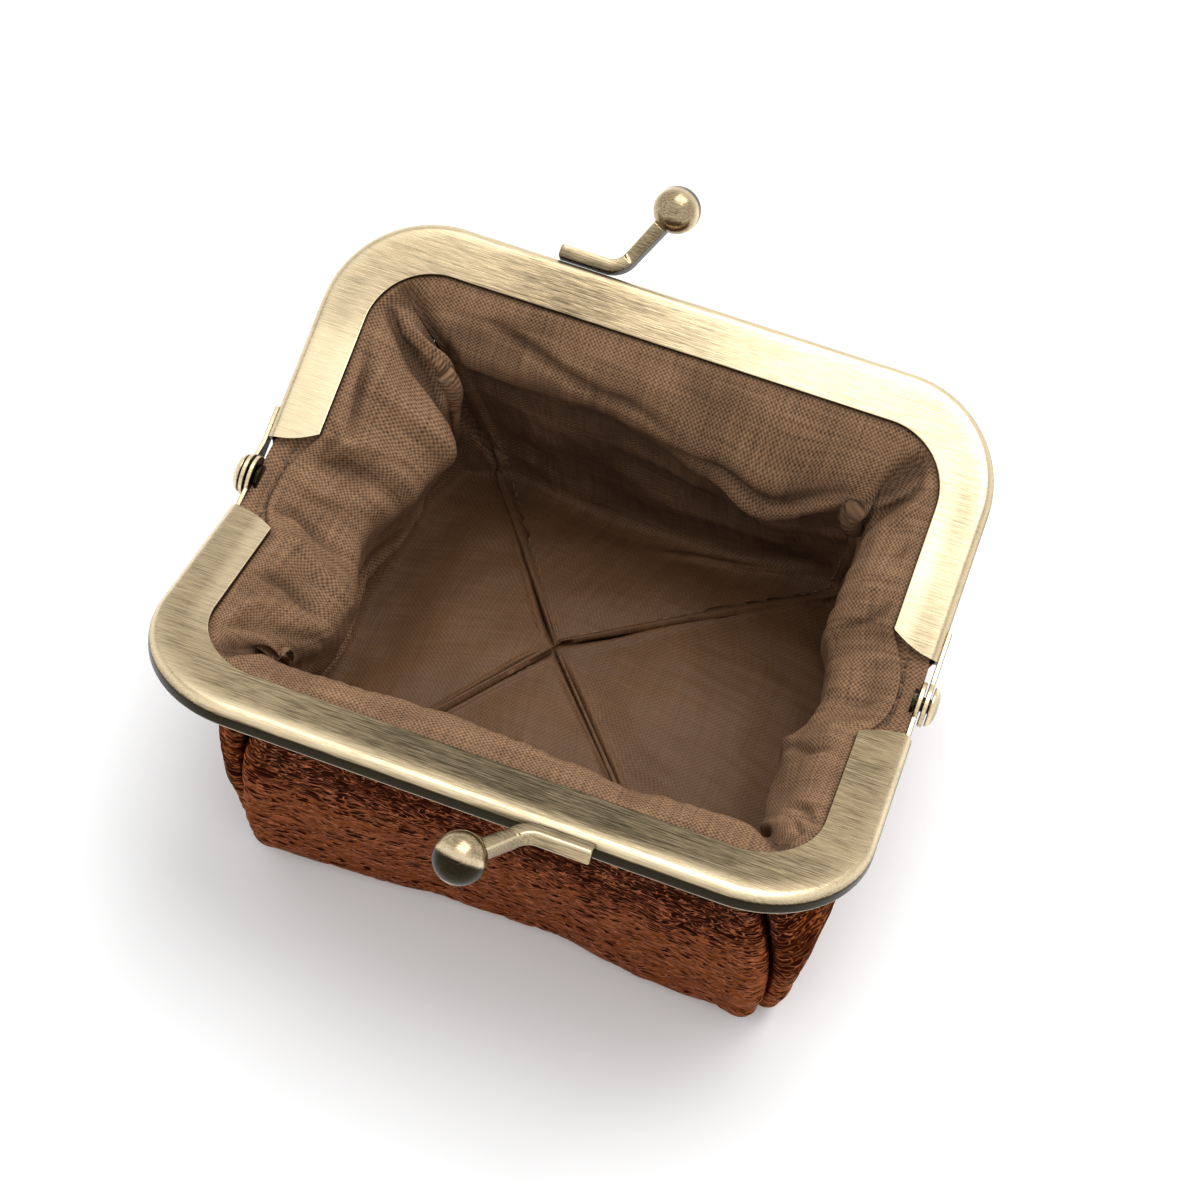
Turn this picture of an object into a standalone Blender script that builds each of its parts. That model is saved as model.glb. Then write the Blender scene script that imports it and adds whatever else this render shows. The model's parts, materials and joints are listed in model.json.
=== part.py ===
"""A small coin purse with a square box base and a kiss-lock frame, standing open.

Lengths are in metres. X runs along the hinge axis, -Y is the front and +Z is up. The origin is on
the floor, under the middle of the hinge axis.

Each half of the metal frame is drawn in a plane of its own, with three coordinates: x along the
hinge axis, reach away from the hinge axis in that plane, and rise out of the plane, towards the
other half. Its objects hang on an empty on the hinge axis, which opens the half by OPEN_ANGLE.
The rear half is the front one turned by half a turn about Z.

The pouch is drawn as one master surface, the outside of the leather, with columns round the mouth
and rows from the frame down to the middle of the base. Every layer is that surface moved inwards.
"""

import math

import bmesh
import bpy
import numpy as np

MM = 0.001

# Stance of the open purse.
HINGE_HEIGHT = 40.0 * MM
OPEN_ANGLE = math.radians(70.5)  # each half, from upright

# Frame channel, a U of sheet metal that is open towards the mouth.
FRAME_WIDTH = 105.0 * MM
FRAME_REACH = 46.7 * MM  # from the hinge axis to the outside of the top
SIDE_FACE = 7.6 * MM  # width of the visible wall along the sides
TOP_FACE = 8.1 * MM  # and along the top
OUTER_CORNER = 17.0 * MM
INNER_CORNER = 10.3 * MM
CHANNEL_DEPTH = 3.4 * MM  # over both walls
CHANNEL_WALL = 0.55 * MM
INSIDE_EDGE_ROUND = 1.5 * MM
OUTSIDE_EDGE_ROUND = 0.9 * MM
CLOSING_GAP = 0.3 * MM  # from the closing plane to the visible wall
END_OUTER_REACH = 6.7 * MM  # where the walls stop, at their outer edge
END_INNER_REACH = 9.3 * MM  # and at their inner edge

# Ears and rivets of the hinge.
EAR_THICKNESS = 0.7 * MM
EAR_GAP = 0.3 * MM
EAR_INSET = 0.3 * MM  # from the outside of the frame in to the middle of the gap between ears
EAR_RADIUS = 3.2 * MM
EAR_REACH = 11.5 * MM
EAR_STRIP_MARGIN = 0.3 * MM  # from the channel's outside to the edge of the ear's strip
EAR_STRIP_WIDTH = 2.2 * MM
RIVET_RADIUS = 1.1 * MM
RIVET_HEAD_RADIUS = 2.9 * MM
RIVET_HEAD_HEIGHT = 1.2 * MM
RIVET_TAIL_RADIUS = 2.0 * MM
RIVET_TAIL_HEIGHT = 0.5 * MM
RIVET_CLEARANCE = 0.25 * MM

# Clasp: a bar on the outside of the top, and a ball on its end.
CLASP_SHIFT = 1.4 * MM  # of the whole clasp to the left of the middle
BAR_THICKNESS = 2.0 * MM  # away from the frame
BAR_DEPTH = 2.6 * MM  # across the channel
BAR_RISE = -1.2 * MM  # of its middle, from the closing plane
BAR_EDGE = 0.4 * MM
BAR_SEAT_GAP = 0.2 * MM
BAR_END_X = 19.3 * MM
BAR_BEND_RADIUS = 3.5 * MM
BAR_BEND_ANGLE = math.radians(63.0)
BAR_SHANK = 6.2 * MM  # straight run from the bend to the ball
BALL_RADIUS = 3.6 * MM
BALL_X = 4.4 * MM
BALL_RISE = 1.6 * MM  # above the closing plane
SPIGOT_RADIUS = 0.65 * MM
SPIGOT_LENGTH = 2.2 * MM  # in the ball
SPIGOT_CLEARANCE = 0.2 * MM

# Layers of the pouch, from the outside in.
LAYER_GAP = 0.15 * MM
LEATHER_THICKNESS = 0.8 * MM
PADDING_THICKNESS = 1.8 * MM
LINING_THICKNESS = 0.35 * MM
CORD_THICKNESS = 0.55 * MM
CORD_WIDTH = 3.2 * MM
CORD_SETBACK = 1.0 * MM  # from the channel's mouth
CORD_END_REACH = 12.5 * MM

# Pouch below the frame.
BASE_WIDTH = 87.0 * MM
BASE_LENGTH = 80.0 * MM
BASE_CORNER = 6.5 * MM
BASE_EDGE_ROUND = 5.0 * MM
BASE_SHIFT = 3.0 * MM  # how far the soft body stands to the right under its frame
FRONT_ROLL = 2.6 * MM  # how far the padded lining swells inwards at the fullest place of each panel
REAR_ROLL = 5.4 * MM
RIGHT_ROLL = 6.0 * MM
LEFT_ROLL = 6.8 * MM
BODY_SWELL = 3.2 * MM  # how far the leather swells outwards below the frame, all round
GUSSET_SWELL = 2.4 * MM  # how much farther in the middle of a gusset
FABRIC_EDGE = 1.75 * MM  # from the outside of the frame to the edge of the fabric
GRIP_OVERRUN = 0.6 * MM  # how far the fabric runs straight past the channel's mouth
TURN_PULL = 2.6 * MM  # reach of the bend below the frame
WALL_PULL = 22.0 * MM  # reach of the upright run above the base
GRIP_END_MARGIN = 0.3 * MM  # from the channel's cut end to the last column that it holds
HEM_INSET = 2.6 * MM  # from the outside of the frame in to the hem's edge
HEM_DROP = 0.6 * MM  # of the hem's edge below the hinge axis
HEM_WIDTH = 3.6 * MM
HEM_SLOPE = math.radians(36.0)
SEAM_GROOVE = 1.4 * MM
SEAM_GAP = 0.3 * MM
THREAD_RADIUS = 0.17 * MM
THREAD_INSET = 3.1 * MM  # from the hem's edge to the row of stitches
THREAD_LIFT = 0.25 * MM

# Finishes: colour, roughness and metallic share.
BRASS = (0.36, 0.30, 0.19), 0.34, 1.0
BRONZE_LEATHER = (0.38, 0.15, 0.07), 0.38, 0.75
LINING_CLOTH = (0.19, 0.12, 0.08), 0.85, 0.0
BATTING = (0.82, 0.80, 0.76), 0.95, 0.0
PAPER = (0.72, 0.62, 0.45), 0.9, 0.0

# Counts, angles, and shares of a length.
CORNER_STEPS = 8
CORNER_COLUMN_STEP = 2  # columns of the pouch stand at every second step of the corner
TURNED_STEPS = 24
BALL_RINGS = 14
ROUND_STEPS = 3
BEND_STEPS = 5
WALL_ROWS = 5
BASE_ROUND_ROWS = 3
CHANNEL_ROWS = 2
THREAD_SIDES = 6
THREAD_COLUMNS = 2  # on each side of the hinge
EAR_ARC = math.radians(270.0)
EAR_ARC_STEPS = 14
SMOOTH_ANGLE = math.radians(40.0)
FACE_SHARES = (1.0, 0.62, 0.28)
FLOOR_SHARE = 0.5  # of the way from the base's edge to its middle
WALL_GROOVE_SHARES = (0.5, 1.0, 1.0, 1.0, 1.0)
BASE_GROOVE_SHARES = (1.0, 0.8, 0.3, 0.0)
HEM_COLUMN_SHARES = (0.68, 0.34, 0.0)  # of the last held column's distance from the hinge
# By rows of the pouch: two in the channel, then the wall, the rounded edge of the base, and the base.
SHIFT_SHARES = (0.0, 0.0, 0.1, 0.35, 0.65, 0.9, 1.0, 1.0, 1.0, 1.0, 1.0)
BODY_SWELL_SHARES = (0.0, 0.0, 0.45, 1.0, 0.85, 0.4, 0.0, 0.0, 0.0, 0.0, 0.0)
GUSSET_SWELL_SHARES = (0.0, 0.0, 0.45, 0.7, 0.5, 0.25, 0.0, 0.0, 0.0, 0.0, 0.0)
FRONT_ROLL_SHARES = (0.0, 0.0, 1.0, 0.9, 0.9, 0.5, 0.3, 0.2, 0.0, 0.0, 0.0)
ROLL_SHARES = (0.0, 0.0, 0.35, 1.0, 0.95, 0.5, 0.3, 0.2, 0.0, 0.0, 0.0)

# Values that follow from the ones above.
HALF_WIDTH = FRAME_WIDTH / 2
CHANNEL_TOP = -CLOSING_GAP
CHANNEL_BOTTOM = CHANNEL_TOP - CHANNEL_DEPTH
LEATHER_RISE = CHANNEL_BOTTOM + CHANNEL_WALL + LAYER_GAP
INNER_HALF_WIDTH = HALF_WIDTH - SIDE_FACE
INNER_REACH = FRAME_REACH - TOP_FACE
EAR_MIDDLE = HALF_WIDTH - EAR_INSET
FRONT_EAR = (EAR_MIDDLE - EAR_GAP / 2 - EAR_THICKNESS, EAR_MIDDLE - EAR_GAP / 2)
REAR_EAR = (EAR_MIDDLE + EAR_GAP / 2, EAR_MIDDLE + EAR_GAP / 2 + EAR_THICKNESS)
BAR_REACH = FRAME_REACH + BAR_SEAT_GAP + BAR_THICKNESS / 2
BEND_RUN = BAR_BEND_RADIUS * math.sin(BAR_BEND_ANGLE)
BEND_CLIMB = BAR_BEND_RADIUS * (1 - math.cos(BAR_BEND_ANGLE))
BEND_TO_BALL = BAR_SHANK + SPIGOT_CLEARANCE + BALL_RADIUS
BALL_REACH = BAR_REACH + BEND_CLIMB + BEND_TO_BALL * math.sin(BAR_BEND_ANGLE)
HEM_X = HALF_WIDTH - HEM_INSET
PADDING_DEPTH = LEATHER_THICKNESS + LAYER_GAP
LINING_GRIP_DEPTH = LEATHER_THICKNESS + LAYER_GAP
LINING_WALL_DEPTH = PADDING_DEPTH + PADDING_THICKNESS + LAYER_GAP
LAST_GRIP_REACH = END_INNER_REACH + GRIP_END_MARGIN


def material(name, finish):
    """A Principled material."""
    colour, roughness, metallic = finish
    made = bpy.data.materials.new(name)
    made.use_nodes = True
    shader = made.node_tree.nodes["Principled BSDF"]
    shader.inputs["Base Color"].default_value = (*colour, 1.0)
    shader.inputs["Roughness"].default_value = roughness
    shader.inputs["Metallic"].default_value = metallic
    return made


def add_object(name, points, faces, finish):
    """A closed mesh as an object, its faces turned outwards and its round parts shaded smooth."""
    mesh = bpy.data.meshes.new(name)
    mesh.from_pydata([tuple(point) for point in points], [], faces)
    work = bmesh.new()
    work.from_mesh(mesh)
    bmesh.ops.recalc_face_normals(work, faces=work.faces)
    work.to_mesh(mesh)
    work.free()
    mesh.shade_smooth()
    mesh.set_sharp_from_angle(angle=SMOOTH_ANGLE)
    mesh.materials.append(material(name, finish))
    made = bpy.data.objects.new(name, mesh)
    bpy.context.scene.collection.objects.link(made)
    return made


def hide_cutter(cutter):
    cutter.hide_render = True
    cutter.display_type = "WIRE"


def add_boolean(target, other, operation):
    modifier = target.modifiers.new(other.name, "BOOLEAN")
    modifier.operation = operation
    modifier.object = other
    modifier.solver = "EXACT"
    hide_cutter(other)


def tube_faces(rings, sides):
    """Faces of a tube of closed rings, each with as many points, and of its two flat ends."""
    faces = []
    for ring in range(rings - 1):
        for side in range(sides):
            near = ring * sides + side
            beside = ring * sides + (side + 1) % sides
            faces.append((near, beside, beside + sides, near + sides))
    last = (rings - 1) * sides
    faces.append(tuple(range(sides)))
    faces.append(tuple(range(last, last + sides)))
    return faces


def turned(profile, steps):
    """Points and faces of a profile of (x, radius) turned about X, which starts and ends on the axis."""
    points = [(profile[0][0], 0.0, 0.0)]
    for x, radius in profile[1:-1]:
        for step in range(steps):
            turn = step * math.tau / steps
            points.append((x, radius * math.cos(turn), radius * math.sin(turn)))
    points.append((profile[-1][0], 0.0, 0.0))
    faces = []
    rings = len(profile) - 2
    for step in range(steps):
        beside = (step + 1) % steps
        faces.append((0, 1 + beside, 1 + step))
        for ring in range(rings - 1):
            start = 1 + ring * steps
            faces.append((start + step, start + beside, start + steps + beside, start + steps + step))
        start = 1 + (rings - 1) * steps
        faces.append((start + step, start + beside, len(points) - 1))
    return points, faces


def blend(start, end, share):
    return np.asarray(start) * (1 - share) + np.asarray(end) * share


def rim_sides():
    """(outer point, inner point) of the channel as (x, reach), round the right corner by 90 degrees."""
    corner = []
    for step in range(CORNER_STEPS + 1):
        turn = step * math.pi / 2 / CORNER_STEPS
        outer = (
            HALF_WIDTH - OUTER_CORNER + OUTER_CORNER * math.cos(turn),
            FRAME_REACH - OUTER_CORNER + OUTER_CORNER * math.sin(turn),
        )
        inner = (
            INNER_HALF_WIDTH - INNER_CORNER + INNER_CORNER * math.cos(turn),
            INNER_REACH - INNER_CORNER + INNER_CORNER * math.sin(turn),
        )
        corner.append((np.array(outer), np.array(inner)))
    return corner


def side_pair(reach):
    """(outer point, inner point) on the straight right side."""
    return np.array((HALF_WIDTH, reach)), np.array((INNER_HALF_WIDTH, reach))


def mirrored(pair):
    return tuple(point * (-1, 1) for point in pair)


def rim(start_reach):
    """The channel's (outer, inner) points from the right end, over the top, to the left end."""
    corner = rim_sides()
    half_way = (start_reach + corner[0][0][1]) / 2
    right = [side_pair(start_reach), side_pair(half_way), *corner]
    left = [mirrored(pair) for pair in reversed(right)]
    return right + left


def along_depth(pair, depth):
    """The point at this depth from the outside of the channel."""
    outer, inner = pair
    return blend(outer, inner, depth / np.linalg.norm(inner - outer))


def end_reach(depth):
    """The channel's end is cut in a curve: how far from the hinge axis it stops at this depth."""
    return END_OUTER_REACH + (END_INNER_REACH - END_OUTER_REACH) * (depth / SIDE_FACE) ** 2


def channel_section(width):
    """((depth, rise) outside, (depth, rise) inside) along the U, from one wall's edge to the other's."""
    top_inside = INSIDE_EDGE_ROUND - CHANNEL_WALL
    low_inside = OUTSIDE_EDGE_ROUND - CHANNEL_WALL
    section = []
    for share in FACE_SHARES:
        depth = INSIDE_EDGE_ROUND + (width - INSIDE_EDGE_ROUND) * share
        section.append(((depth, CHANNEL_TOP), (depth, CHANNEL_TOP - CHANNEL_WALL)))
    for step in range(ROUND_STEPS + 1):
        turn = step * math.pi / 2 / ROUND_STEPS
        across, up = math.sin(turn), math.cos(turn)
        section.append(
            (
                (INSIDE_EDGE_ROUND * (1 - across), CHANNEL_TOP - INSIDE_EDGE_ROUND * (1 - up)),
                (INSIDE_EDGE_ROUND - top_inside * across, CHANNEL_TOP - INSIDE_EDGE_ROUND + top_inside * up),
            )
        )
    for step in range(ROUND_STEPS + 1):
        turn = step * math.pi / 2 / ROUND_STEPS
        across, down = math.cos(turn), math.sin(turn)
        centre_rise = CHANNEL_BOTTOM + OUTSIDE_EDGE_ROUND
        section.append(
            (
                (OUTSIDE_EDGE_ROUND * (1 - across), centre_rise - OUTSIDE_EDGE_ROUND * down),
                (OUTSIDE_EDGE_ROUND - low_inside * across, centre_rise - low_inside * down),
            )
        )
    for share in reversed(FACE_SHARES):
        depth = OUTSIDE_EDGE_ROUND + (width - OUTSIDE_EDGE_ROUND) * share
        section.append(((depth, CHANNEL_BOTTOM), (depth, CHANNEL_BOTTOM + CHANNEL_WALL)))
    return section


def channel_mesh():
    """The channel, in its half's own coordinates (x, rise, reach)."""
    stations = rim(END_INNER_REACH)
    points = []
    for number, pair in enumerate(stations):
        outside, inside = zip(*channel_section(np.linalg.norm(pair[1] - pair[0])))
        cut_end = number in (0, len(stations) - 1)
        ring = [*outside, *reversed(inside)]
        for depth, rise in ring:
            x, reach = along_depth(pair, depth)
            points.append((x, rise, end_reach(depth) if cut_end else reach))
    sides = len(ring)
    faces = tube_faces(len(stations), sides)[:-2]
    last = (len(stations) - 1) * sides
    for pair in range(sides // 2 - 1):
        across = (pair, pair + 1, sides - 2 - pair, sides - 1 - pair)
        faces.append(across)
        faces.append(tuple(last + index for index in across))
    return points, faces


def ear_outline():
    """The ear seen along X, as (rise, reach): a round end about the hinge axis and a strip up the side."""
    strip_low = CHANNEL_BOTTOM + EAR_STRIP_MARGIN
    strip_high = strip_low + EAR_STRIP_WIDTH
    outline = []
    for step in range(EAR_ARC_STEPS + 1):
        turn = math.pi + step * EAR_ARC / EAR_ARC_STEPS
        outline.append((EAR_RADIUS * math.cos(turn), EAR_RADIUS * math.sin(turn)))
    outline.append((strip_high, END_OUTER_REACH - EAR_STRIP_WIDTH / 2))
    outline.append((strip_high, EAR_REACH))
    outline.append((strip_low, EAR_REACH))
    outline.append((strip_low, EAR_RADIUS))
    return outline


def add_ears(name, span):
    """Both ears of one half, each a plate from span[0] to span[1] away from the middle."""
    outline = ear_outline()
    sides = len(outline)
    points, faces = [], []
    for hand in (1, -1):
        start = len(points)
        for x in span:
            points += [(hand * x, rise, reach) for rise, reach in outline]
        faces += [tuple(start + index for index in face) for face in tube_faces(len(span), sides)]
    return add_object(name, points, faces, BRASS)


def add_hinge_bore(name):
    """A cutter along the hinge axis for the holes of one half's ears."""
    radius = RIVET_RADIUS + RIVET_CLEARANCE
    reach = HALF_WIDTH + RIVET_HEAD_HEIGHT
    points, faces = turned(((-reach, 0.0), (-reach, radius), (reach, radius), (reach, 0.0)), TURNED_STEPS)
    return add_object(name, points, faces, BRASS)


def add_frame(name, ear_span, hinge):
    frame = add_object(name, *channel_mesh(), BRASS)
    ears = add_ears(f"{name}_ears", ear_span)
    bore = add_hinge_bore(f"{name}_bore")
    add_boolean(frame, ears, "UNION")
    add_boolean(frame, bore, "DIFFERENCE")
    for piece in (frame, ears, bore):
        piece.parent = hinge


def bar_line():
    """(point, direction) along the clasp's bar, from its free end to the end of its bend."""
    bend_x = BALL_X + BEND_TO_BALL * math.cos(BAR_BEND_ANGLE) + BEND_RUN
    line = [(np.array((BAR_END_X, BAR_RISE, BAR_REACH)), np.array((-1.0, 0.0, 0.0)))]
    for step in range(BEND_STEPS + 1):
        turn = BAR_BEND_ANGLE * step / BEND_STEPS
        run, climb = math.sin(turn), 1 - math.cos(turn)
        point = np.array((bend_x, BAR_RISE, BAR_REACH)) + np.array((-run, 0.0, climb)) * BAR_BEND_RADIUS
        line.append((point, np.array((-math.cos(turn), 0.0, math.sin(turn)))))
    return line


def ball_place():
    """The ball's centre, and the direction in which the bar's shank runs to it."""
    bend_end = bar_line()[-1][0]
    ball = np.array((BALL_X, BALL_RISE, BALL_REACH))
    return ball, (ball - bend_end) / np.linalg.norm(ball - bend_end)


def section_ring(centre, heading, thickness, depth, edge):
    """An eight-sided ring across the bar: a rectangle with its four edges cut off."""
    across = np.cross(heading, (0.0, 1.0, 0.0))
    across /= np.linalg.norm(across)
    up = np.cross(across, heading)
    half_thickness, half_depth = thickness / 2, depth / 2
    corners = (
        (half_thickness, half_depth - edge),
        (half_thickness - edge, half_depth),
        (edge - half_thickness, half_depth),
        (-half_thickness, half_depth - edge),
        (-half_thickness, edge - half_depth),
        (edge - half_thickness, -half_depth),
        (half_thickness - edge, -half_depth),
        (half_thickness, edge - half_depth),
    )
    return [centre + across * a + up * b for a, b in corners]


def add_clasp_arm(name, hinge, shift):
    line = bar_line()
    ball, heading = ball_place()
    shoulder = ball - heading * (BALL_RADIUS + SPIGOT_CLEARANCE)
    line += [((line[-1][0] + shoulder) / 2, heading), (shoulder, heading)]
    rings = [section_ring(point, way, BAR_THICKNESS, BAR_DEPTH, BAR_EDGE) for point, way in line]
    spigot = 2 * SPIGOT_RADIUS
    spigot_edge = SPIGOT_RADIUS * (2 - math.sqrt(2))
    tip = shoulder + heading * (SPIGOT_CLEARANCE + SPIGOT_LENGTH)
    for centre in (shoulder, tip):
        rings.append(section_ring(centre, heading, spigot, spigot, spigot_edge))
    points = [point for ring in rings for point in ring]
    arm = add_object(name, points, tube_faces(len(rings), len(rings[0])), BRASS)
    arm.location = (shift, 0.0, 0.0)
    arm.parent = hinge


def add_clasp_ball(name, hinge, shift):
    ball, heading = ball_place()
    profile = [(BALL_RADIUS, 0.0)]
    for ring in range(1, BALL_RINGS):
        turn = math.pi * ring / BALL_RINGS
        profile.append((BALL_RADIUS * math.cos(turn), BALL_RADIUS * math.sin(turn)))
    profile.append((-BALL_RADIUS, 0.0))
    points, faces = turned(profile, TURNED_STEPS)
    sphere = add_object(name, points, faces, BRASS)
    radius = SPIGOT_RADIUS + SPIGOT_CLEARANCE
    bottom = BALL_RADIUS - SPIGOT_LENGTH - SPIGOT_CLEARANCE
    outside = BALL_RADIUS + SPIGOT_LENGTH
    points, faces = turned(
        ((-outside, 0.0), (-outside, radius), (-bottom, radius), (-bottom, 0.0)), TURNED_STEPS // 2
    )
    bore = add_object(f"{name}_bore", points, faces, BRASS)
    add_boolean(sphere, bore, "DIFFERENCE")
    turn_about_reach = math.atan2(heading[1], heading[0])
    turn_up = -math.asin(heading[2])
    for piece in (sphere, bore):
        piece.location = ball + np.array((shift, 0.0, 0.0))
        piece.rotation_euler = (0.0, turn_up, turn_about_reach)
        piece.parent = hinge


def add_paper_cord(name, hinge):
    """The strip of twisted paper wedged between the lining and the visible wall."""
    top = CHANNEL_TOP - CHANNEL_WALL - LAYER_GAP
    bottom = top - CORD_THICKNESS
    points = []
    stations = rim(CORD_END_REACH)
    for pair in stations:
        far = np.linalg.norm(pair[1] - pair[0]) - CORD_SETBACK
        near = far - CORD_WIDTH
        ring = ((near, top), (far, top), (far, bottom), (near, bottom))
        for depth, rise in ring:
            x, reach = along_depth(pair, depth)
            points.append((x, rise, reach))
    cord = add_object(name, points, tube_faces(len(stations), len(ring)), PAPER)
    cord.parent = hinge


def add_rivet(name, turn):
    """A rivet along X through both ears, with its domed head outside."""
    head_base = REAR_EAR[1] + RIVET_CLEARANCE
    tail_base = FRONT_EAR[0] - RIVET_CLEARANCE
    profile = [
        (tail_base - RIVET_TAIL_HEIGHT, 0.0),
        (tail_base - RIVET_TAIL_HEIGHT, RIVET_TAIL_RADIUS),
        (tail_base, RIVET_TAIL_RADIUS),
        (tail_base, RIVET_RADIUS),
        (head_base, RIVET_RADIUS),
        (head_base, RIVET_HEAD_RADIUS),
    ]
    for step in range(1, ROUND_STEPS):
        rise = math.pi / 2 * step / ROUND_STEPS
        profile.append(
            (head_base + RIVET_HEAD_HEIGHT * math.sin(rise), RIVET_HEAD_RADIUS * math.cos(rise))
        )
    profile.append((head_base + RIVET_HEAD_HEIGHT, 0.0))
    rivet = add_object(name, *turned(profile, TURNED_STEPS), BRASS)
    rivet.location = (0.0, 0.0, HINGE_HEIGHT)
    rivet.rotation_euler = (0.0, 0.0, turn)


def half_to_world(x, reach, rise):
    """A point of the front half in world coordinates."""
    lean, stand = math.sin(OPEN_ANGLE), math.cos(OPEN_ANGLE)
    return np.array((x, rise * stand - reach * lean, HINGE_HEIGHT + reach * stand + rise * lean))


def held_column(pair, outline_point, outline_normal):
    """A column of the pouch that starts in the channel, as its master rows above the base."""
    width = np.linalg.norm(pair[1] - pair[0])
    edge = half_to_world(*along_depth(pair, FABRIC_EDGE), LEATHER_RISE)
    mouth = half_to_world(*along_depth(pair, width + GRIP_OVERRUN), LEATHER_RISE)
    return edge, mouth, outline_point, outline_normal


def hem_column(held, share):
    """A column that starts at the hem between the two halves, at this share of a held column's distance."""
    edge, mouth, outline_point, outline_normal = held
    hinge_edge = np.array((HEM_X, 0.0, HINGE_HEIGHT - HEM_DROP))
    hem_edge = blend(hinge_edge, edge * (1.0, 0.0, 1.0), share**2) + edge * (0.0, share, 0.0)
    slope = HEM_SLOPE * (1 - share)
    heading = np.array((-math.cos(slope), 0.0, -math.sin(slope)))
    width = blend(HEM_WIDTH, np.linalg.norm(mouth - edge), share**2)
    return hem_edge, hem_edge + heading * width, outline_point * (1.0, share), outline_normal


def quarter_columns():
    """Columns from the middle of the front to the hinge on the right."""
    half_width, half_length = BASE_WIDTH / 2, BASE_LENGTH / 2
    corner_x, corner_y = half_width - BASE_CORNER, half_length - BASE_CORNER
    corner = rim_sides()
    arc_x = corner[-1][0][0]
    arc_reach = corner[0][0][1]
    top_pair = (np.array((0.0, FRAME_REACH)), np.array((0.0, INNER_REACH)))
    between = (np.array((arc_x / 2, FRAME_REACH)), np.array((arc_x / 2, INNER_REACH)))
    forward, right = np.array((0.0, -1.0)), np.array((1.0, 0.0))
    columns = [
        held_column(top_pair, np.array((0.0, -half_length)), forward),
        held_column(between, np.array((corner_x / 2, -half_length)), forward),
    ]
    for step in reversed(range(0, CORNER_STEPS + 1, CORNER_COLUMN_STEP)):
        turn = step * math.pi / 2 / CORNER_STEPS
        normal = np.array((math.cos(turn), -math.sin(turn)))
        point = np.array((corner_x, -corner_y)) + normal * BASE_CORNER
        columns.append(held_column(corner[step], point, normal))
    for reach in ((arc_reach + LAST_GRIP_REACH) / 2, LAST_GRIP_REACH):
        outline_point = np.array((half_width, -corner_y * reach / arc_reach))
        columns.append(held_column(side_pair(reach), outline_point, right))
    held = columns[-1]
    columns += [hem_column(held, share) for share in HEM_COLUMN_SHARES]
    return columns


def column_rows(edge, mouth, outline_point, outline_normal):
    """The master surface's points down one column, without the apex in the middle of the base."""
    heading = (mouth - edge) / np.linalg.norm(mouth - edge)
    wall_foot = np.array((*outline_point, BASE_EDGE_ROUND))
    pulls = (mouth, mouth + heading * TURN_PULL, wall_foot + np.array((0.0, 0.0, WALL_PULL)), wall_foot)
    rows = [edge, mouth]
    for row in range(1, WALL_ROWS + 1):
        rest = row / WALL_ROWS
        near = 1 - rest
        weights = (near**3, 3 * near**2 * rest, 3 * near * rest**2, rest**3)
        rows.append(sum(weight * pull for weight, pull in zip(weights, pulls)))
    outwards = np.array((*outline_normal, 0.0))
    centre = wall_foot - outwards * BASE_EDGE_ROUND
    for row in range(1, BASE_ROUND_ROWS + 1):
        turn = math.pi / 2 * row / BASE_ROUND_ROWS
        down = np.array((0.0, 0.0, -math.sin(turn)))
        rows.append(centre + (outwards * math.cos(turn) + down) * BASE_EDGE_ROUND)
    rows.append(rows[-1] * (1 - FLOOR_SHARE))
    return np.array(rows)


def master_surface():
    """(points, outward normals, columns at the seams), by rows and columns round the whole mouth."""
    columns = quarter_columns()
    quarter = np.stack([column_rows(*column) for column in columns], axis=1)
    steps = len(columns) - 1
    front_to_rear = np.array((1.0, -1.0, 1.0))
    right_to_left = np.array((-1.0, 1.0, 1.0))
    rear = quarter[:, ::-1] * front_to_rear
    right = np.concatenate([quarter, rear[:, 1:]], axis=1)
    left = right[:, -2:0:-1] * right_to_left
    points = np.concatenate([right, left], axis=1)
    along = np.roll(points, -1, axis=1) - np.roll(points, 1, axis=1)
    down = np.gradient(points, axis=0)
    normals = np.cross(along, down)
    floor_rows = points.shape[0] - 2
    normals[floor_rows:] = (0.0, 0.0, -1.0)
    normals /= np.linalg.norm(normals, axis=2, keepdims=True)
    outwards = np.sign((normals[WALL_ROWS] * points[WALL_ROWS] * (1.0, 1.0, 0.0)).sum())
    normals[:floor_rows] *= outwards
    corner_columns = CORNER_STEPS // CORNER_COLUMN_STEP + 1
    held_sides = len(columns) - corner_columns - len(HEM_COLUMN_SHARES)
    first_seam = held_sides // 2 + corner_columns // 2
    seams = (first_seam, 2 * steps - first_seam, 2 * steps + first_seam, 4 * steps - first_seam)
    groove = np.zeros(points.shape[:2])
    shares = (0.0, 0.0, *WALL_GROOVE_SHARES[:-1], *BASE_GROOVE_SHARES, 0.0)
    for seam in seams:
        groove[:, seam] = np.array(shares) * SEAM_GROOVE
    count = points.shape[1]
    for first, last in (seams[:2], seams[2:]):
        groove -= panel_swell(GUSSET_SWELL_SHARES, first, last, count) * GUSSET_SWELL
    groove -= body_swell()
    points = points - normals * groove[..., None]
    points[:, :, 0] += np.array(SHIFT_SHARES)[:, None] * BASE_SHIFT
    return points, normals, seams


def body_swell():
    """How far each row of the leather swells outwards below the frame, as one column for all."""
    return np.array(BODY_SWELL_SHARES)[:, None] * BODY_SWELL


def panel_swell(row_shares, first, last, count):
    """Shares by rows and columns of a swelling: the rows' own, times half a sine wave across the panel."""
    across = np.zeros(count)
    columns = np.arange(first, last + 1)
    across[columns % count] = np.sin(math.pi * (columns - first) / (last - first))
    return np.array(row_shares)[:, None] * across


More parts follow.
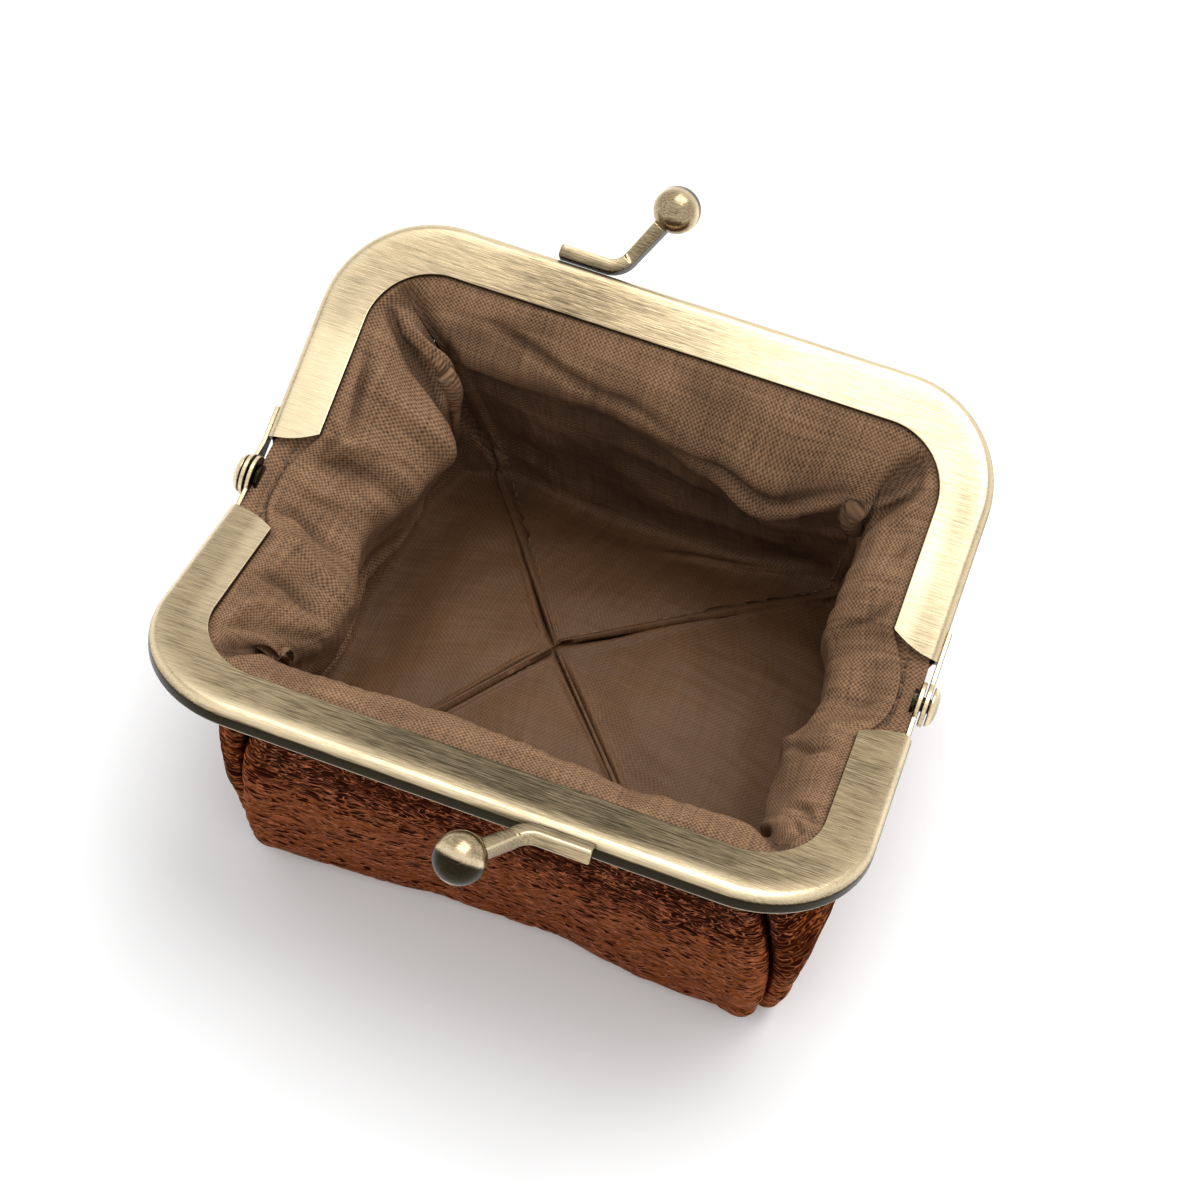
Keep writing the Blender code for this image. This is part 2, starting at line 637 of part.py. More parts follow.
def panel_layer(points, normals, first, last, first_row, depths):
    """One side of a panel: the master surface from seam to seam, moved in by its depth at each point."""
    columns = np.arange(first, last + 1) % points.shape[1]
    layer = points[first_row:, columns] - normals[first_row:, columns] * depths[first_row:, columns, None]
    for edge, beside in ((0, 1), (-1, -2)):
        inwards = layer[:, beside] - layer[:, edge]
        inwards /= np.linalg.norm(inwards, axis=1, keepdims=True)
        layer[:, edge] += inwards * SEAM_GAP / 2
    middle = layer[-1, layer.shape[1] // 2]
    centre = np.array((BASE_SHIFT, 0.0, middle[2]))
    apex = centre + (middle - centre) / np.linalg.norm(middle - centre) * SEAM_GAP
    return layer, apex


def add_panel(name, points, normals, span, first_row, outer_depths, inner_depths, finish):
    """A panel as a closed slab between two depths, ending in a point at the middle of the base."""
    outer, outer_apex = panel_layer(points, normals, *span, first_row, outer_depths)
    inner, inner_apex = panel_layer(points, normals, *span, first_row, inner_depths)
    rows, columns = outer.shape[:2]
    sheet = rows * columns
    corners = [*outer.reshape(sheet, 3), *inner.reshape(sheet, 3), outer_apex, inner_apex]
    outer_end, inner_end = 2 * sheet, 2 * sheet + 1
    faces = []
    for row in range(rows - 1):
        for column in range(columns - 1):
            a = row * columns + column
            b, c, d = a + 1, a + 1 + columns, a + columns
            faces.append((a, b, c, d))
            faces.append((a + sheet, d + sheet, c + sheet, b + sheet))
        for column in (0, columns - 1):
            a = row * columns + column
            faces.append((a, a + columns, a + columns + sheet, a + sheet))
    last = (rows - 1) * columns
    for column in range(columns - 1):
        faces.append((column, column + 1, column + 1 + sheet, column + sheet))
        faces.append((last + column, last + column + 1, outer_end))
        faces.append((last + column + 1 + sheet, last + column + sheet, inner_end))
    for column in (0, columns - 1):
        faces.append((last + column, outer_end, inner_end, last + column + sheet))
    add_object(name, corners, faces, finish)


def add_pouch(points, normals, seams):
    """Leather, padding and lining, each cut as four panels that meet in the middle of the base.

    The padding fills the leather's swelling, and swells inwards with the lining as a roll below the frame.
    """
    rows, count = points.shape[:2]
    spans = {
        "front_panel": ((seams[3] - count, seams[0]), FRONT_ROLL, FRONT_ROLL_SHARES),
        "right_gusset": ((seams[0], seams[1]), RIGHT_ROLL, ROLL_SHARES),
        "rear_panel": ((seams[1], seams[2]), REAR_ROLL, ROLL_SHARES),
        "left_gusset": ((seams[2], seams[3]), LEFT_ROLL, ROLL_SHARES),
    }
    outside = np.zeros((rows, count))
    lining_depth = np.full((rows, count), LINING_WALL_DEPTH)
    lining_depth[:CHANNEL_ROWS] = LINING_GRIP_DEPTH
    for place, (span, roll, row_shares) in spans.items():
        swell = body_swell() + panel_swell(row_shares, *span, count) * roll
        leather = outside, outside + LEATHER_THICKNESS
        padding = outside + PADDING_DEPTH, outside + PADDING_DEPTH + PADDING_THICKNESS + swell
        lining = lining_depth + swell, lining_depth + swell + LINING_THICKNESS
        add_panel(f"leather_{place}", points, normals, span, 0, *leather, BRONZE_LEATHER)
        add_panel(f"padding_{place}", points, normals, span, CHANNEL_ROWS, *padding, BATTING)
        add_panel(f"lining_{place}", points, normals, span, 0, *lining, LINING_CLOTH)


def add_hem_thread(name, points, normals, hinge_column, hand):
    """The row of stitches along the hem of one gusset, as one thread lying on the lining."""
    lift = LINING_GRIP_DEPTH + LINING_THICKNESS + THREAD_LIFT + THREAD_RADIUS
    route = []
    for column in range(hinge_column - THREAD_COLUMNS, hinge_column + THREAD_COLUMNS + 1):
        edge, mouth = points[0, column], points[1, column]
        share = THREAD_INSET / np.linalg.norm(mouth - edge)
        depth_way = normals[0, column] * (1 - share) + normals[1, column] * share
        route.append(blend(edge, mouth, share) - depth_way * lift)
    rings = []
    for centre in route:
        for side in range(THREAD_SIDES):
            turn = math.tau * side / THREAD_SIDES
            offset = np.array((math.cos(turn), 0.0, math.sin(turn))) * THREAD_RADIUS
            rings.append((centre + offset) * (hand, 1.0, 1.0))
    add_object(name, rings, tube_faces(len(route), THREAD_SIDES), LINING_CLOTH)


def add_hinge_empty(name, turn):
    """An empty on the hinge axis, whose Z runs up one half of the frame."""
    hinge = bpy.data.objects.new(name, None)
    hinge.location = (0.0, 0.0, HINGE_HEIGHT)
    hinge.rotation_euler = (OPEN_ANGLE, 0.0, turn)
    bpy.context.scene.collection.objects.link(hinge)
    return hinge


def main():
    for old in list(bpy.data.objects):
        bpy.data.objects.remove(old)
    points, normals, seams = master_surface()
    add_pouch(points, normals, seams)
    hinge_column = (seams[0] + seams[1]) // 2
    for place, hand in (("right", 1.0), ("left", -1.0)):
        add_hem_thread(f"{place}_hem_thread", points, normals, hinge_column, hand)
    halves = (("front", 0.0, FRONT_EAR, -CLASP_SHIFT), ("rear", math.pi, REAR_EAR, CLASP_SHIFT))
    for place, turn, ears, shift in halves:
        hinge = add_hinge_empty(f"{place}_hinge", turn)
        add_frame(f"{place}_frame", ears, hinge)
        add_clasp_arm(f"{place}_clasp_arm", hinge, shift)
        add_clasp_ball(f"{place}_clasp_ball", hinge, shift)
        add_paper_cord(f"{place}_paper_cord", hinge)
    add_rivet("right_rivet", 0.0)
    add_rivet("left_rivet", math.pi)


main()
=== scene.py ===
"""The looks of a small coin purse with a square box base and a kiss-lock frame, standing open.

Every surface is worked out with numpy from the sizes in the settings. Two coordinates are used
throughout. A half of the metal frame is drawn in a plane of its own: x along the hinge axis, reach
away from that axis, and rise out of the plane. The pouch is drawn as columns round the mouth, at a
turn that runs from 0 in the middle of the front over 1 at the right hinge, 2 in the middle of the
rear and 3 at the left hinge, and rows that run from the frame down to the middle of the base.
"""

import json
import math

import bmesh
import bpy
import numpy as np
from bpy.props import FloatProperty, FloatVectorProperty, IntProperty, PointerProperty
from bpy.types import Operator, Panel, PropertyGroup
from mathutils import Matrix, Vector


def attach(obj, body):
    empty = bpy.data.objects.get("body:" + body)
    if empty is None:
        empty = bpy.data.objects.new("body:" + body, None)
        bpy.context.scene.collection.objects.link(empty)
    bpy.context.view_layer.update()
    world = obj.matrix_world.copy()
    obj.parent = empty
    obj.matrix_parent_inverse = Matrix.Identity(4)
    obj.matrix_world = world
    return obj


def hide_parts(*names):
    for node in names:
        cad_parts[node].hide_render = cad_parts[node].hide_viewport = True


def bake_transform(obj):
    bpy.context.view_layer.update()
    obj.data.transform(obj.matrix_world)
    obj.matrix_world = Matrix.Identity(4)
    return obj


bl_info = {
    "name": "Kiss-lock coin purse",
    "version": (1, 0, 0),
    "blender": (4, 5, 0),
    "location": "3D View > Sidebar > Purse",
    "description": "Builds the finished surfaces of a kiss-lock coin purse round its packed frame",
    "category": "Object",
}

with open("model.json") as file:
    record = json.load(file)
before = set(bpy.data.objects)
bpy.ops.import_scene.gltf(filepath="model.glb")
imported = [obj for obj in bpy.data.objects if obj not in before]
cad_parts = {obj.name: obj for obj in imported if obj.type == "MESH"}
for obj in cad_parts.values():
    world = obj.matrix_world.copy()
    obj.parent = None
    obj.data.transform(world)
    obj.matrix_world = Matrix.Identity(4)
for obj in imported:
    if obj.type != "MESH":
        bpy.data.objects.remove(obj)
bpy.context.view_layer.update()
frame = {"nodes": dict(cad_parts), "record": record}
MM = 0.001

# The hinge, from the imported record.
JOINTS = {joint["name"]: joint for joint in frame["record"]["behaviour"]["joints"]}
FRONT_HINGE = JOINTS["front_hinge"]
HINGE_HEIGHT = FRONT_HINGE["pos_m"][2]
OPEN_ANGLE = math.radians(-FRONT_HINGE["range_deg"][0])
LEAN, STAND = math.sin(OPEN_ANGLE), math.cos(OPEN_ANGLE)

# The metal frame, as the solids have it.
HALF_WIDTH = 52.5 * MM
FRAME_REACH = 46.7 * MM
SIDE_FACE = 7.6 * MM
TOP_FACE = 8.1 * MM
OUTER_CORNER = 17.0 * MM
INNER_CORNER = 10.3 * MM
CHANNEL_TOP = -0.3 * MM
CHANNEL_BOTTOM = -3.7 * MM
CHANNEL_WALL = 0.55 * MM
TOP_ROUND = 1.5 * MM
LOW_ROUND = 0.9 * MM
LIP_BEVEL = 0.14 * MM
END_OUTER_REACH = 6.7 * MM
END_INNER_REACH = 9.3 * MM
LAST_GRIP_REACH = 9.6 * MM
GRIP_DEPTH = 1.75 * MM

# The ears, as (inner face, outer face) along the hinge axis, and the rivets.
EARS = {"front": (51.35 * MM, 52.05 * MM), "rear": (52.35 * MM, 53.05 * MM)}
EAR_BEVEL = 0.12 * MM
EAR_RADIUS = 3.2 * MM
RIVET_TAIL = 51.10 * MM
RIVET_HEAD = 53.30 * MM
RIVET_SHANK_RADIUS = 1.1 * MM
RIVET_TAIL_RADIUS = 2.0 * MM
RIVET_HEAD_RADIUS = 2.9 * MM
RIVET_HEAD_HEIGHT = 1.2 * MM

# The turn at which each stretch of a quarter of the mouth ends: top, corner, side, hem.
TOP_TURN = 0.38
CORNER_TURN = 0.62
SIDE_TURN = 0.88
SEAM_TURN = 0.5

# The base of the pouch, and how far the soft body stands to the right under its frame.
BASE_HALF_WIDTH = 43.5 * MM
BASE_HALF_LENGTH = 40.0 * MM
BASE_CORNER = 6.5 * MM
BASE_ROUND = 5.0 * MM
BASE_SHIFT = 3.0 * MM
MIDDLE_DRAWN_IN = 1.9 * MM  # how far the middle of the front and rear edge stands inside the corners

# Where the seam of each corner meets the frame: the lining's midway, the leather's nearer the top.
LINING_SEAMS = (0.50, 0.50, 0.50, 0.50)
LEATHER_SEAMS = (0.41, 0.40, 0.40, 0.35)

# The clasp.
CLASP_SHIFT = 1.4 * MM
BAR_HALF_THICKNESS = 1.0 * MM
BAR_HALF_DEPTH = 1.3 * MM
BAR_RISE = -1.2 * MM
BAR_END_X = 19.3 * MM
BALL_X = 4.4 * MM
BALL_RISE = 1.6 * MM
BEND_RADIUS = 3.5 * MM
BEND_ANGLE = math.radians(63.0)
BEND_TO_BALL = 10.0 * MM
SHANK_IN_BALL = 3.1 * MM  # from the end of the bar to the middle of the ball


# Settings that a user would change.


class PURSE_PG_metal(PropertyGroup):
    """Sizes and colours of the metal parts."""

    # Also the colour of painted highlights and bright painted reflections.
    polished: FloatVectorProperty(
        name="Polished brass", description="Colour of edges that hands have rubbed",
        subtype="COLOR", size=3, min=0.0, max=1.0, default=(0.95, 0.79, 0.52))
    bright: FloatVectorProperty(
        name="Bright brass", description="Colour on top of the brush lines",
        subtype="COLOR", size=3, min=0.0, max=1.0, default=(0.50, 0.385, 0.23))
    aged: FloatVectorProperty(
        name="Aged brass", description="Colour in the brush lines",
        subtype="COLOR", size=3, min=0.0, max=1.0, default=(0.15, 0.115, 0.068))
    # Also the colour of painted shade and dark painted reflections.
    dark: FloatVectorProperty(
        name="Dark patina", description="Colour where the patina was never brushed off",
        subtype="COLOR", size=3, min=0.0, max=1.0, default=(0.022, 0.018, 0.010))
    brush_pitch: FloatProperty(
        name="Brush pitch", description="Width of one brush line", unit="LENGTH", default=0.18 * MM)
    ball_radius: FloatProperty(
        name="Ball radius", description="Radius of the clasp balls", unit="LENGTH", default=3.6 * MM)
    corner_steps: IntProperty(
        name="Corner steps", description="Stations of the channel round one corner",
        min=8, max=96, default=40)


class PURSE_PG_leather(PropertyGroup):
    """Sizes and colours of the outside of the pouch."""

    thickness: FloatProperty(
        name="Thickness", description="Thickness of the leather", unit="LENGTH", default=0.8 * MM)
    foil: FloatVectorProperty(
        name="Foil", description="Colour of the copper foil on the leather",
        subtype="COLOR", size=3, min=0.0, max=1.0, default=(0.24, 0.084, 0.046))
    crease: FloatVectorProperty(
        name="Crease", description="Colour in the creases, where the foil has cracked",
        subtype="COLOR", size=3, min=0.0, max=1.0, default=(0.014, 0.006, 0.004))
    crease_pitch: FloatProperty(
        name="Crease pitch", description="Distance from crease to crease", unit="LENGTH", default=0.48 * MM)
    seam_roll: FloatProperty(
        name="Seam roll", description="Radius of the rolls beside the corner seams",
        unit="LENGTH", default=2.2 * MM)
    columns: IntProperty(
        name="Columns", description="Columns of a panel's mesh", min=40, max=400, default=230)
    rows: IntProperty(
        name="Rows", description="Rows of a panel's wall", min=30, max=240, default=180)


class PURSE_PG_lining(PropertyGroup):
    """Sizes and colours of the padded lining."""

    light: FloatVectorProperty(
        name="Thread", description="Colour on top of the threads",
        subtype="COLOR", size=3, min=0.0, max=1.0, default=(0.345, 0.196, 0.106))
    # Also the colour that the creases and the hollow below the rear roll are painted towards as shade.
    deep: FloatVectorProperty(
        name="Gap", description="Colour between the threads",
        subtype="COLOR", size=3, min=0.0, max=1.0, default=(0.020, 0.010, 0.005))
    pitch: FloatProperty(
        name="Thread pitch", description="Distance from thread to thread", unit="LENGTH", default=0.34 * MM)
    thickness: FloatProperty(
        name="Padding", description="Thickness of the lining with its padding",
        unit="LENGTH", default=1.2 * MM)
    columns: IntProperty(
        name="Columns", description="Columns of a panel's mesh", min=40, max=400, default=200)
    rows: IntProperty(
        name="Rows", description="Rows of a panel's mesh", min=40, max=400, default=240)


class PURSE_PG_thread(PropertyGroup):
    """Sizes and colours of the sewing threads."""

    hem_dark: FloatVectorProperty(
        name="Hem thread, dark", description="Darker colour in the twist of the thread along the hems",
        subtype="COLOR", size=3, min=0.0, max=1.0, default=(0.035, 0.020, 0.012))
    hem_light: FloatVectorProperty(
        name="Hem thread, light", description="Lighter colour in the twist of the thread along the hems",
        subtype="COLOR", size=3, min=0.0, max=1.0, default=(0.16, 0.10, 0.06))
    floor_dark: FloatVectorProperty(
        name="Floor thread, dark", description="Darker colour in the twist of the thread on the floor",
        subtype="COLOR", size=3, min=0.0, max=1.0, default=(0.10, 0.058, 0.030))
    floor_light: FloatVectorProperty(
        name="Floor thread, light", description="Lighter colour in the twist of the thread on the floor",
        subtype="COLOR", size=3, min=0.0, max=1.0, default=(0.27, 0.165, 0.088))
    hem_pitch: FloatProperty(
        name="Hem pitch", description="Distance from stitch to stitch along the hems",
        unit="LENGTH", default=2.4 * MM)
    floor_pitch: FloatProperty(
        name="Floor pitch", description="Distance from stitch to stitch on the floor",
        unit="LENGTH", default=2.0 * MM)


class PURSE_PG_stage(PropertyGroup):
    """The floor, the light and the camera."""

    floor: FloatVectorProperty(
        name="Floor", description="Colour of the floor",
        subtype="COLOR", size=3, min=0.0, max=1.0, default=(0.94, 0.94, 0.94))
    sky_strength: FloatProperty(
        name="Sky", description="Strength of the even light all round", min=0.0, default=0.93)
    lamp_power: FloatProperty(
        name="Lamp", description="Power of the large soft lamp above", unit="POWER", min=0.0, default=4.8)
    lamp_size: FloatProperty(
        name="Lamp size", description="Side of the square lamp", unit="LENGTH", min=0.01, default=0.6)
    lamp_place: FloatVectorProperty(
        name="Lamp place", description="Where the lamp hangs", subtype="XYZ", unit="LENGTH", size=3,
        default=(0.10, 0.30, 0.80))
    camera_place: FloatVectorProperty(
        name="Camera place", description="Where the camera stands", subtype="XYZ", unit="LENGTH", size=3,
        default=(0.04978, -0.17112, 0.34496))
    camera_turn: FloatVectorProperty(
        name="Camera turn", description="Which way the camera is turned", subtype="EULER", size=3,
        default=(math.radians(29.934), math.radians(-2.808), math.radians(20.108)))
    lens: FloatProperty(
        name="Lens", description="Focal length of the camera on a 36 mm sensor",
        unit="CAMERA", default=72.63)


# Meshes from arrays.


def finish_object(mesh, name, material, smooth=True):
    """An object at the origin for a mesh that is already in place."""
    mesh.materials.append(material)
    mesh.shade_smooth() if smooth else mesh.shade_flat()
    made = bpy.data.objects.new(name, mesh)
    bpy.context.scene.collection.objects.link(made)
    return made


def mesh_from_arrays(name, points, faces, attributes=None):
    """A mesh from an array of points and one of faces, with each attribute's values on its points.

    Coinciding points are merged, and the faces of the closed shape turned outwards.
    """
    mesh = bpy.data.meshes.new(name)
    mesh.from_pydata(points.tolist(), [], [list(face) for face in faces])
    for key, values in (attributes or {}).items():
        kind = "FLOAT_VECTOR" if values.ndim == 2 else "FLOAT"
        layer = mesh.attributes.new(key, kind, "POINT")
        layer.data.foreach_set("vector" if values.ndim == 2 else "value", values.astype(np.float32).ravel())
    work = bmesh.new()
    work.from_mesh(mesh)
    bmesh.ops.remove_doubles(work, verts=work.verts, dist=1e-6)
    bmesh.ops.recalc_face_normals(work, faces=work.faces)
    work.to_mesh(mesh)
    work.free()
    return mesh


def grid_faces(rows, columns, start=0):
    """Faces between neighbouring points of a grid, as an array."""
    index = np.arange(rows * columns).reshape(rows, columns) + start
    return np.stack([index[:-1, :-1], index[:-1, 1:], index[1:, 1:], index[1:, :-1]], axis=-1).reshape(-1, 4)


def slab_mesh(name, shown, hidden, attributes):
    """A closed sheet between two grids of points, joined round their edges."""
    rows, columns = shown.shape[:2]
    count = rows * columns
    index = np.arange(count).reshape(rows, columns)
    ring = np.concatenate([index[0], index[1:, -1], index[-1, -2::-1], index[-2:0:-1, 0]])
    after = np.roll(ring, -1)
    edge = np.stack([after, ring, ring + count, after + count], axis=-1)
    faces = np.concatenate([grid_faces(rows, columns), grid_faces(rows, columns, count)[:, ::-1], edge])
    points = np.concatenate([shown.reshape(-1, 3), hidden.reshape(-1, 3)])
    doubled = {}
    for key, values in attributes.items():
        flat = values.reshape(count, -1) if values.ndim == 3 else values.reshape(count)
        doubled[key] = np.concatenate([flat, flat])
    return mesh_from_arrays(name, points, faces, doubled)


def tube_mesh(name, rings, attributes=None, closed_ends=True):
    """A tube through rings of points, with as many in each ring, closed by a face at each end."""
    count, sides = rings.shape[:2]
    index = np.arange(count * sides).reshape(count, sides)
    beside = np.roll(index, -1, axis=1)
    faces = np.stack([index[:-1], beside[:-1], beside[1:], index[1:]], axis=-1).reshape(-1, 4).tolist()
    if closed_ends:
        faces += [index[0].tolist(), index[-1, ::-1].tolist()]
    return mesh_from_arrays(name, rings.reshape(-1, 3), faces, attributes)


def joined(name, meshes):
    """One mesh out of several."""
    work = bmesh.new()
    for mesh in meshes:
        work.from_mesh(mesh)
    together = bpy.data.meshes.new(name)
    work.to_mesh(together)
    work.free()
    for mesh in meshes:
        bpy.data.meshes.remove(mesh)
    return together


def unit(vectors):
    """The vectors at length 1."""
    return vectors / np.maximum(np.linalg.norm(vectors, axis=-1, keepdims=True), 1e-12)


def surface_normals(points, towards):
    """Normals of a grid of points, from the cross product of its two directions, on the side of towards."""
    normals = unit(np.cross(np.gradient(points, axis=1), np.gradient(points, axis=0)))
    side = np.sign((normals * towards).sum(axis=-1).mean())
    return normals * side


def smoothly(start, end, values):
    """0 below start and 1 above end, eased between them."""
    share = np.clip((values - start) / (end - start), 0.0, 1.0)
    return share * share * (3 - 2 * share)


def noise(x, y, seed):
    """Gradient noise from about -1 to 1: a random slope at each whole-number place, eased between them."""
    draw = np.random.default_rng(seed)
    order = draw.permutation(256)
    slopes = draw.uniform(0.0, math.tau, 256)
    left, low = np.floor(x).astype(int), np.floor(y).astype(int)
    right_share, up_share = x - left, y - low

    def from_place(step_x, step_y):
        slope = slopes[order[(order[(left + step_x) & 255] + low + step_y) & 255]]
        return np.cos(slope) * (right_share - step_x) + np.sin(slope) * (up_share - step_y)

    ease_x = right_share**3 * (right_share * (right_share * 6 - 15) + 10)
    ease_y = up_share**3 * (up_share * (up_share * 6 - 15) + 10)
    below = from_place(0, 0) * (1 - ease_x) + from_place(1, 0) * ease_x
    above = from_place(0, 1) * (1 - ease_x) + from_place(1, 1) * ease_x
    return (below * (1 - ease_y) + above * ease_y) * 1.5


# Places on the frame and the pouch.

# The rear half is the front one turned by half a turn about the vertical.
HALF_TURN = Matrix.Diagonal((-1.0, -1.0, 1.0, 1.0))


def half_place(x, reach, rise):
    """Points of the front half's plane in the room: leaned back from upright by the open angle."""
    x, reach, rise = np.broadcast_arrays(x, reach, rise)
    return np.stack([x, rise * STAND - reach * LEAN, HINGE_HEIGHT + reach * STAND + rise * LEAN], axis=-1)


def stretches(turn, last):
    """How far turns have come along the top, the angle left to them round the corner, how far down the side.

    The side ends at the turn called last.
    """
    along_top = np.clip(turn / TOP_TURN, 0.0, 1.0)
    angle = math.pi / 2 * (1 - np.clip((turn - TOP_TURN) / (CORNER_TURN - TOP_TURN), 0.0, 1.0))
    down_side = np.clip((turn - CORNER_TURN) / (last - CORNER_TURN), 0.0, 1.0)
    return along_top, angle, down_side


def rim_pair(turn):
    """Outer and inner point (x, reach) of the channel, at a turn from the middle of the top to the hinge.

    The top is straight, the corner is a quarter circle about each wall's own centre, the side is straight.
    """
    along_top, angle, down_side = stretches(turn, SIDE_TURN)
    pairs = []
    for width, reach, corner in (
        (HALF_WIDTH, FRAME_REACH, OUTER_CORNER),
        (HALF_WIDTH - SIDE_FACE, FRAME_REACH - TOP_FACE, INNER_CORNER),
    ):
        start_x, end_reach = width - corner, reach - corner
        x = start_x * along_top + corner * np.cos(angle)
        y = end_reach + corner * np.sin(angle) - (end_reach - LAST_GRIP_REACH) * down_side
        pairs.append(np.stack([x, y], axis=-1))
    return pairs


def quarter_places(turn, rise, rim_seam):
    """(edge, mouth, foot, outward) of the columns of one quarter, at turns from 0 to 1.

    Edge and mouth lie in the channel at this rise, and past its end on the hem, which sinks towards the
    hinge. Foot is the rounded rectangle of the base, and outward its normal. Along the rim the turns are
    stretched so that the seam between two panels ends at rim_seam.
    """
    foot_turn = turn
    past_seam = 1 - (1 - turn) * (1 - rim_seam) / (1 - SEAM_TURN)
    turn = np.where(turn < SEAM_TURN, turn * rim_seam / SEAM_TURN, past_seam)
    outer, inner = rim_pair(np.minimum(turn, SIDE_TURN))
    width = np.linalg.norm(inner - outer, axis=-1)[:, None]
    grip = outer + (inner - outer) * GRIP_DEPTH / width
    lip = outer + (inner - outer) * (width + 0.6 * MM) / width
    edge = half_place(grip[:, 0], grip[:, 1], rise)
    mouth = half_place(lip[:, 0], lip[:, 1], rise)

    share = np.clip((1 - turn) / (1 - SIDE_TURN), 0.0, 1.0)[:, None]
    hinge_edge = np.array((HALF_WIDTH - 1.5 * MM, 0.0, HINGE_HEIGHT - 0.6 * MM + (rise + 3.0 * MM)))
    level_edge = edge * (1.0, 0.0, 1.0)
    hem_edge = hinge_edge * (1 - share**2) + level_edge * share**2 + edge * (0.0, 1.0, 0.0) * share
    hem_edge = hem_edge + np.sin(math.pi * share) * np.array((0.4 * MM, 0.0, 0.0))
    slope = math.radians(36.0) * (1 - share)
    heading = np.concatenate([-np.cos(slope), 0 * slope, -np.sin(slope)], axis=1)
    hem_width = 3.6 * MM * (1 - share**2) + np.linalg.norm(mouth - edge, axis=-1)[:, None] * share**2
    on_hem = (turn > SIDE_TURN)[:, None]
    mouth = np.where(on_hem, hem_edge + heading * hem_width, mouth)
    edge = np.where(on_hem, hem_edge, edge)

    along_top, angle, down_side = stretches(foot_turn, 1)
    corner_x, corner_y = BASE_HALF_WIDTH - BASE_CORNER, BASE_HALF_LENGTH - BASE_CORNER
    foot_x = corner_x * along_top + BASE_CORNER * np.cos(angle)
    foot_y = -(corner_y + BASE_CORNER * np.sin(angle)) + corner_y * down_side
    foot = np.stack([foot_x, foot_y], axis=-1)
    outward = np.stack([np.cos(angle), -np.sin(angle)], axis=-1)
    drawn_in = MIDDLE_DRAWN_IN * np.cos(along_top * math.pi / 2) ** 2
    foot = foot - outward * drawn_in[:, None]
    return edge, mouth, foot, outward


def column_places(turn, rise, seams=LINING_SEAMS):
    """(edge, mouth, foot, outward) of columns anywhere round the mouth: each quarter mirrors the first."""
    turn = np.mod(turn, 4.0)
    first = np.select([turn < 1, turn < 2, turn < 3], [turn, 2 - turn, turn - 2], 4 - turn)
    flip_x = np.where(turn > 2, -1.0, 1.0)
    flip_y = np.where((turn > 1) & (turn < 3), -1.0, 1.0)
    edge, mouth, foot, outward = quarter_places(first, rise, np.array(seams)[np.floor(turn).astype(int)])
    flip = np.stack([flip_x, flip_y, np.ones_like(flip_x)], axis=-1)
    foot = foot * flip[:, :2] + (BASE_SHIFT, 0.0)
    return edge * flip, mouth * flip, foot, outward * flip[:, :2]


def around(turn, table):
    """Values at a turn, from a table of (turn, values) round the mouth, eased from each place to the next."""
    stops = np.array([row[0] for row in table])
    values = np.array([row[1:] for row in table])
    stops = np.concatenate([stops - 4.0, stops, stops + 4.0])
    values = np.concatenate([values] * 3)
    place = np.searchsorted(stops, turn, side="right") - 1
    share = smoothly(0.0, 1.0, (turn - stops[place]) / (stops[place + 1] - stops[place]))[:, None]
    return values[place] * (1 - share) + values[place + 1] * share


def through(points, share):
    """Points on a smooth curve through the given ones, each share from 0 to 1 along it.

    A cubic between each two points whose slope at a point is half the step between its neighbours.
    """
    spots = np.clip(share * (len(points) - 1), 0.0, len(points) - 1 - 1e-9)
    piece = spots.astype(int)
    rest = (spots - piece)[:, None, None]
    padded = np.concatenate([2 * points[:1] - points[1:2], points, 2 * points[-1:] - points[-2:-1]])
    before, start, end, after = (padded[piece + step] for step in range(4))
    return (
        start
        + rest * 0.5 * (end - before)
        + rest**2 * (before - 2.5 * start + 2 * end - 0.5 * after)
        + rest**3 * (1.5 * (start - end) + 0.5 * (after - before))
    )


def lengths_along(points, axis):
    """Distance from the first point along one direction of a grid."""
    steps = np.linalg.norm(np.diff(points, axis=axis), axis=-1)
    start = np.zeros_like(np.take(steps, [0], axis=axis))
    return np.concatenate([start, np.cumsum(steps, axis=axis)], axis=axis)


# Materials.


def add_node(tree, kind, inputs=None, **settings):
    """A node with its settings, and its inputs set to values or joined to other nodes' sockets."""
    made = tree.nodes.new(kind)
    for key, value in settings.items():
        setattr(made, key, value)
    for key, value in (inputs or {}).items():
        if isinstance(value, bpy.types.NodeSocket):
            tree.links.new(value, made.inputs[key])
        else:
            made.inputs[key].default_value = value
    return made


def maths(tree, operation, first, second=0.0, clamp=False):
    """The result of one sum on two values or sockets."""
    return add_node(
        tree, "ShaderNodeMath", {0: first, 1: second}, operation=operation, use_clamp=clamp).outputs[0]


def mixed(tree, share, first, second, blend="MIX"):
    """A colour between two colours or sockets."""
    colours = [(*value, 1.0) if isinstance(value, (tuple, list)) or hasattr(value, "r") else value
               for value in (first, second)]
    made = add_node(
        tree, "ShaderNodeMix", {0: share, 6: colours[0], 7: colours[1]}, data_type="RGBA", blend_type=blend)
    return made.outputs[2]


def ranged(tree, value, low, high, to_low=0.0, to_high=1.0, easing="SMOOTHSTEP"):
    """A value brought from one range to another."""
    made = add_node(
        tree, "ShaderNodeMapRange", {0: value, 1: low, 2: high, 3: to_low, 4: to_high},
        interpolation_type=easing)
    return made.outputs[0]


def new_material(name):
    """A material's node tree and its Principled shader."""
    made = bpy.data.materials.new(name)
    made.use_nodes = True
    return made, made.node_tree, made.node_tree.nodes["Principled BSDF"]


def mapped(tree, vector, scale, location=(0.0, 0.0, 0.0), turn=0.0):
    """A coordinate scaled, turned about Z and moved."""
    return add_node(
        tree, "ShaderNodeMapping",
        {"Vector": vector, "Scale": scale, "Location": location, "Rotation": (0.0, 0.0, turn)}).outputs[0]


def object_place(tree):
    """The place on the piece, which is its place in the room."""
    return add_node(tree, "ShaderNodeTexCoord").outputs["Object"]


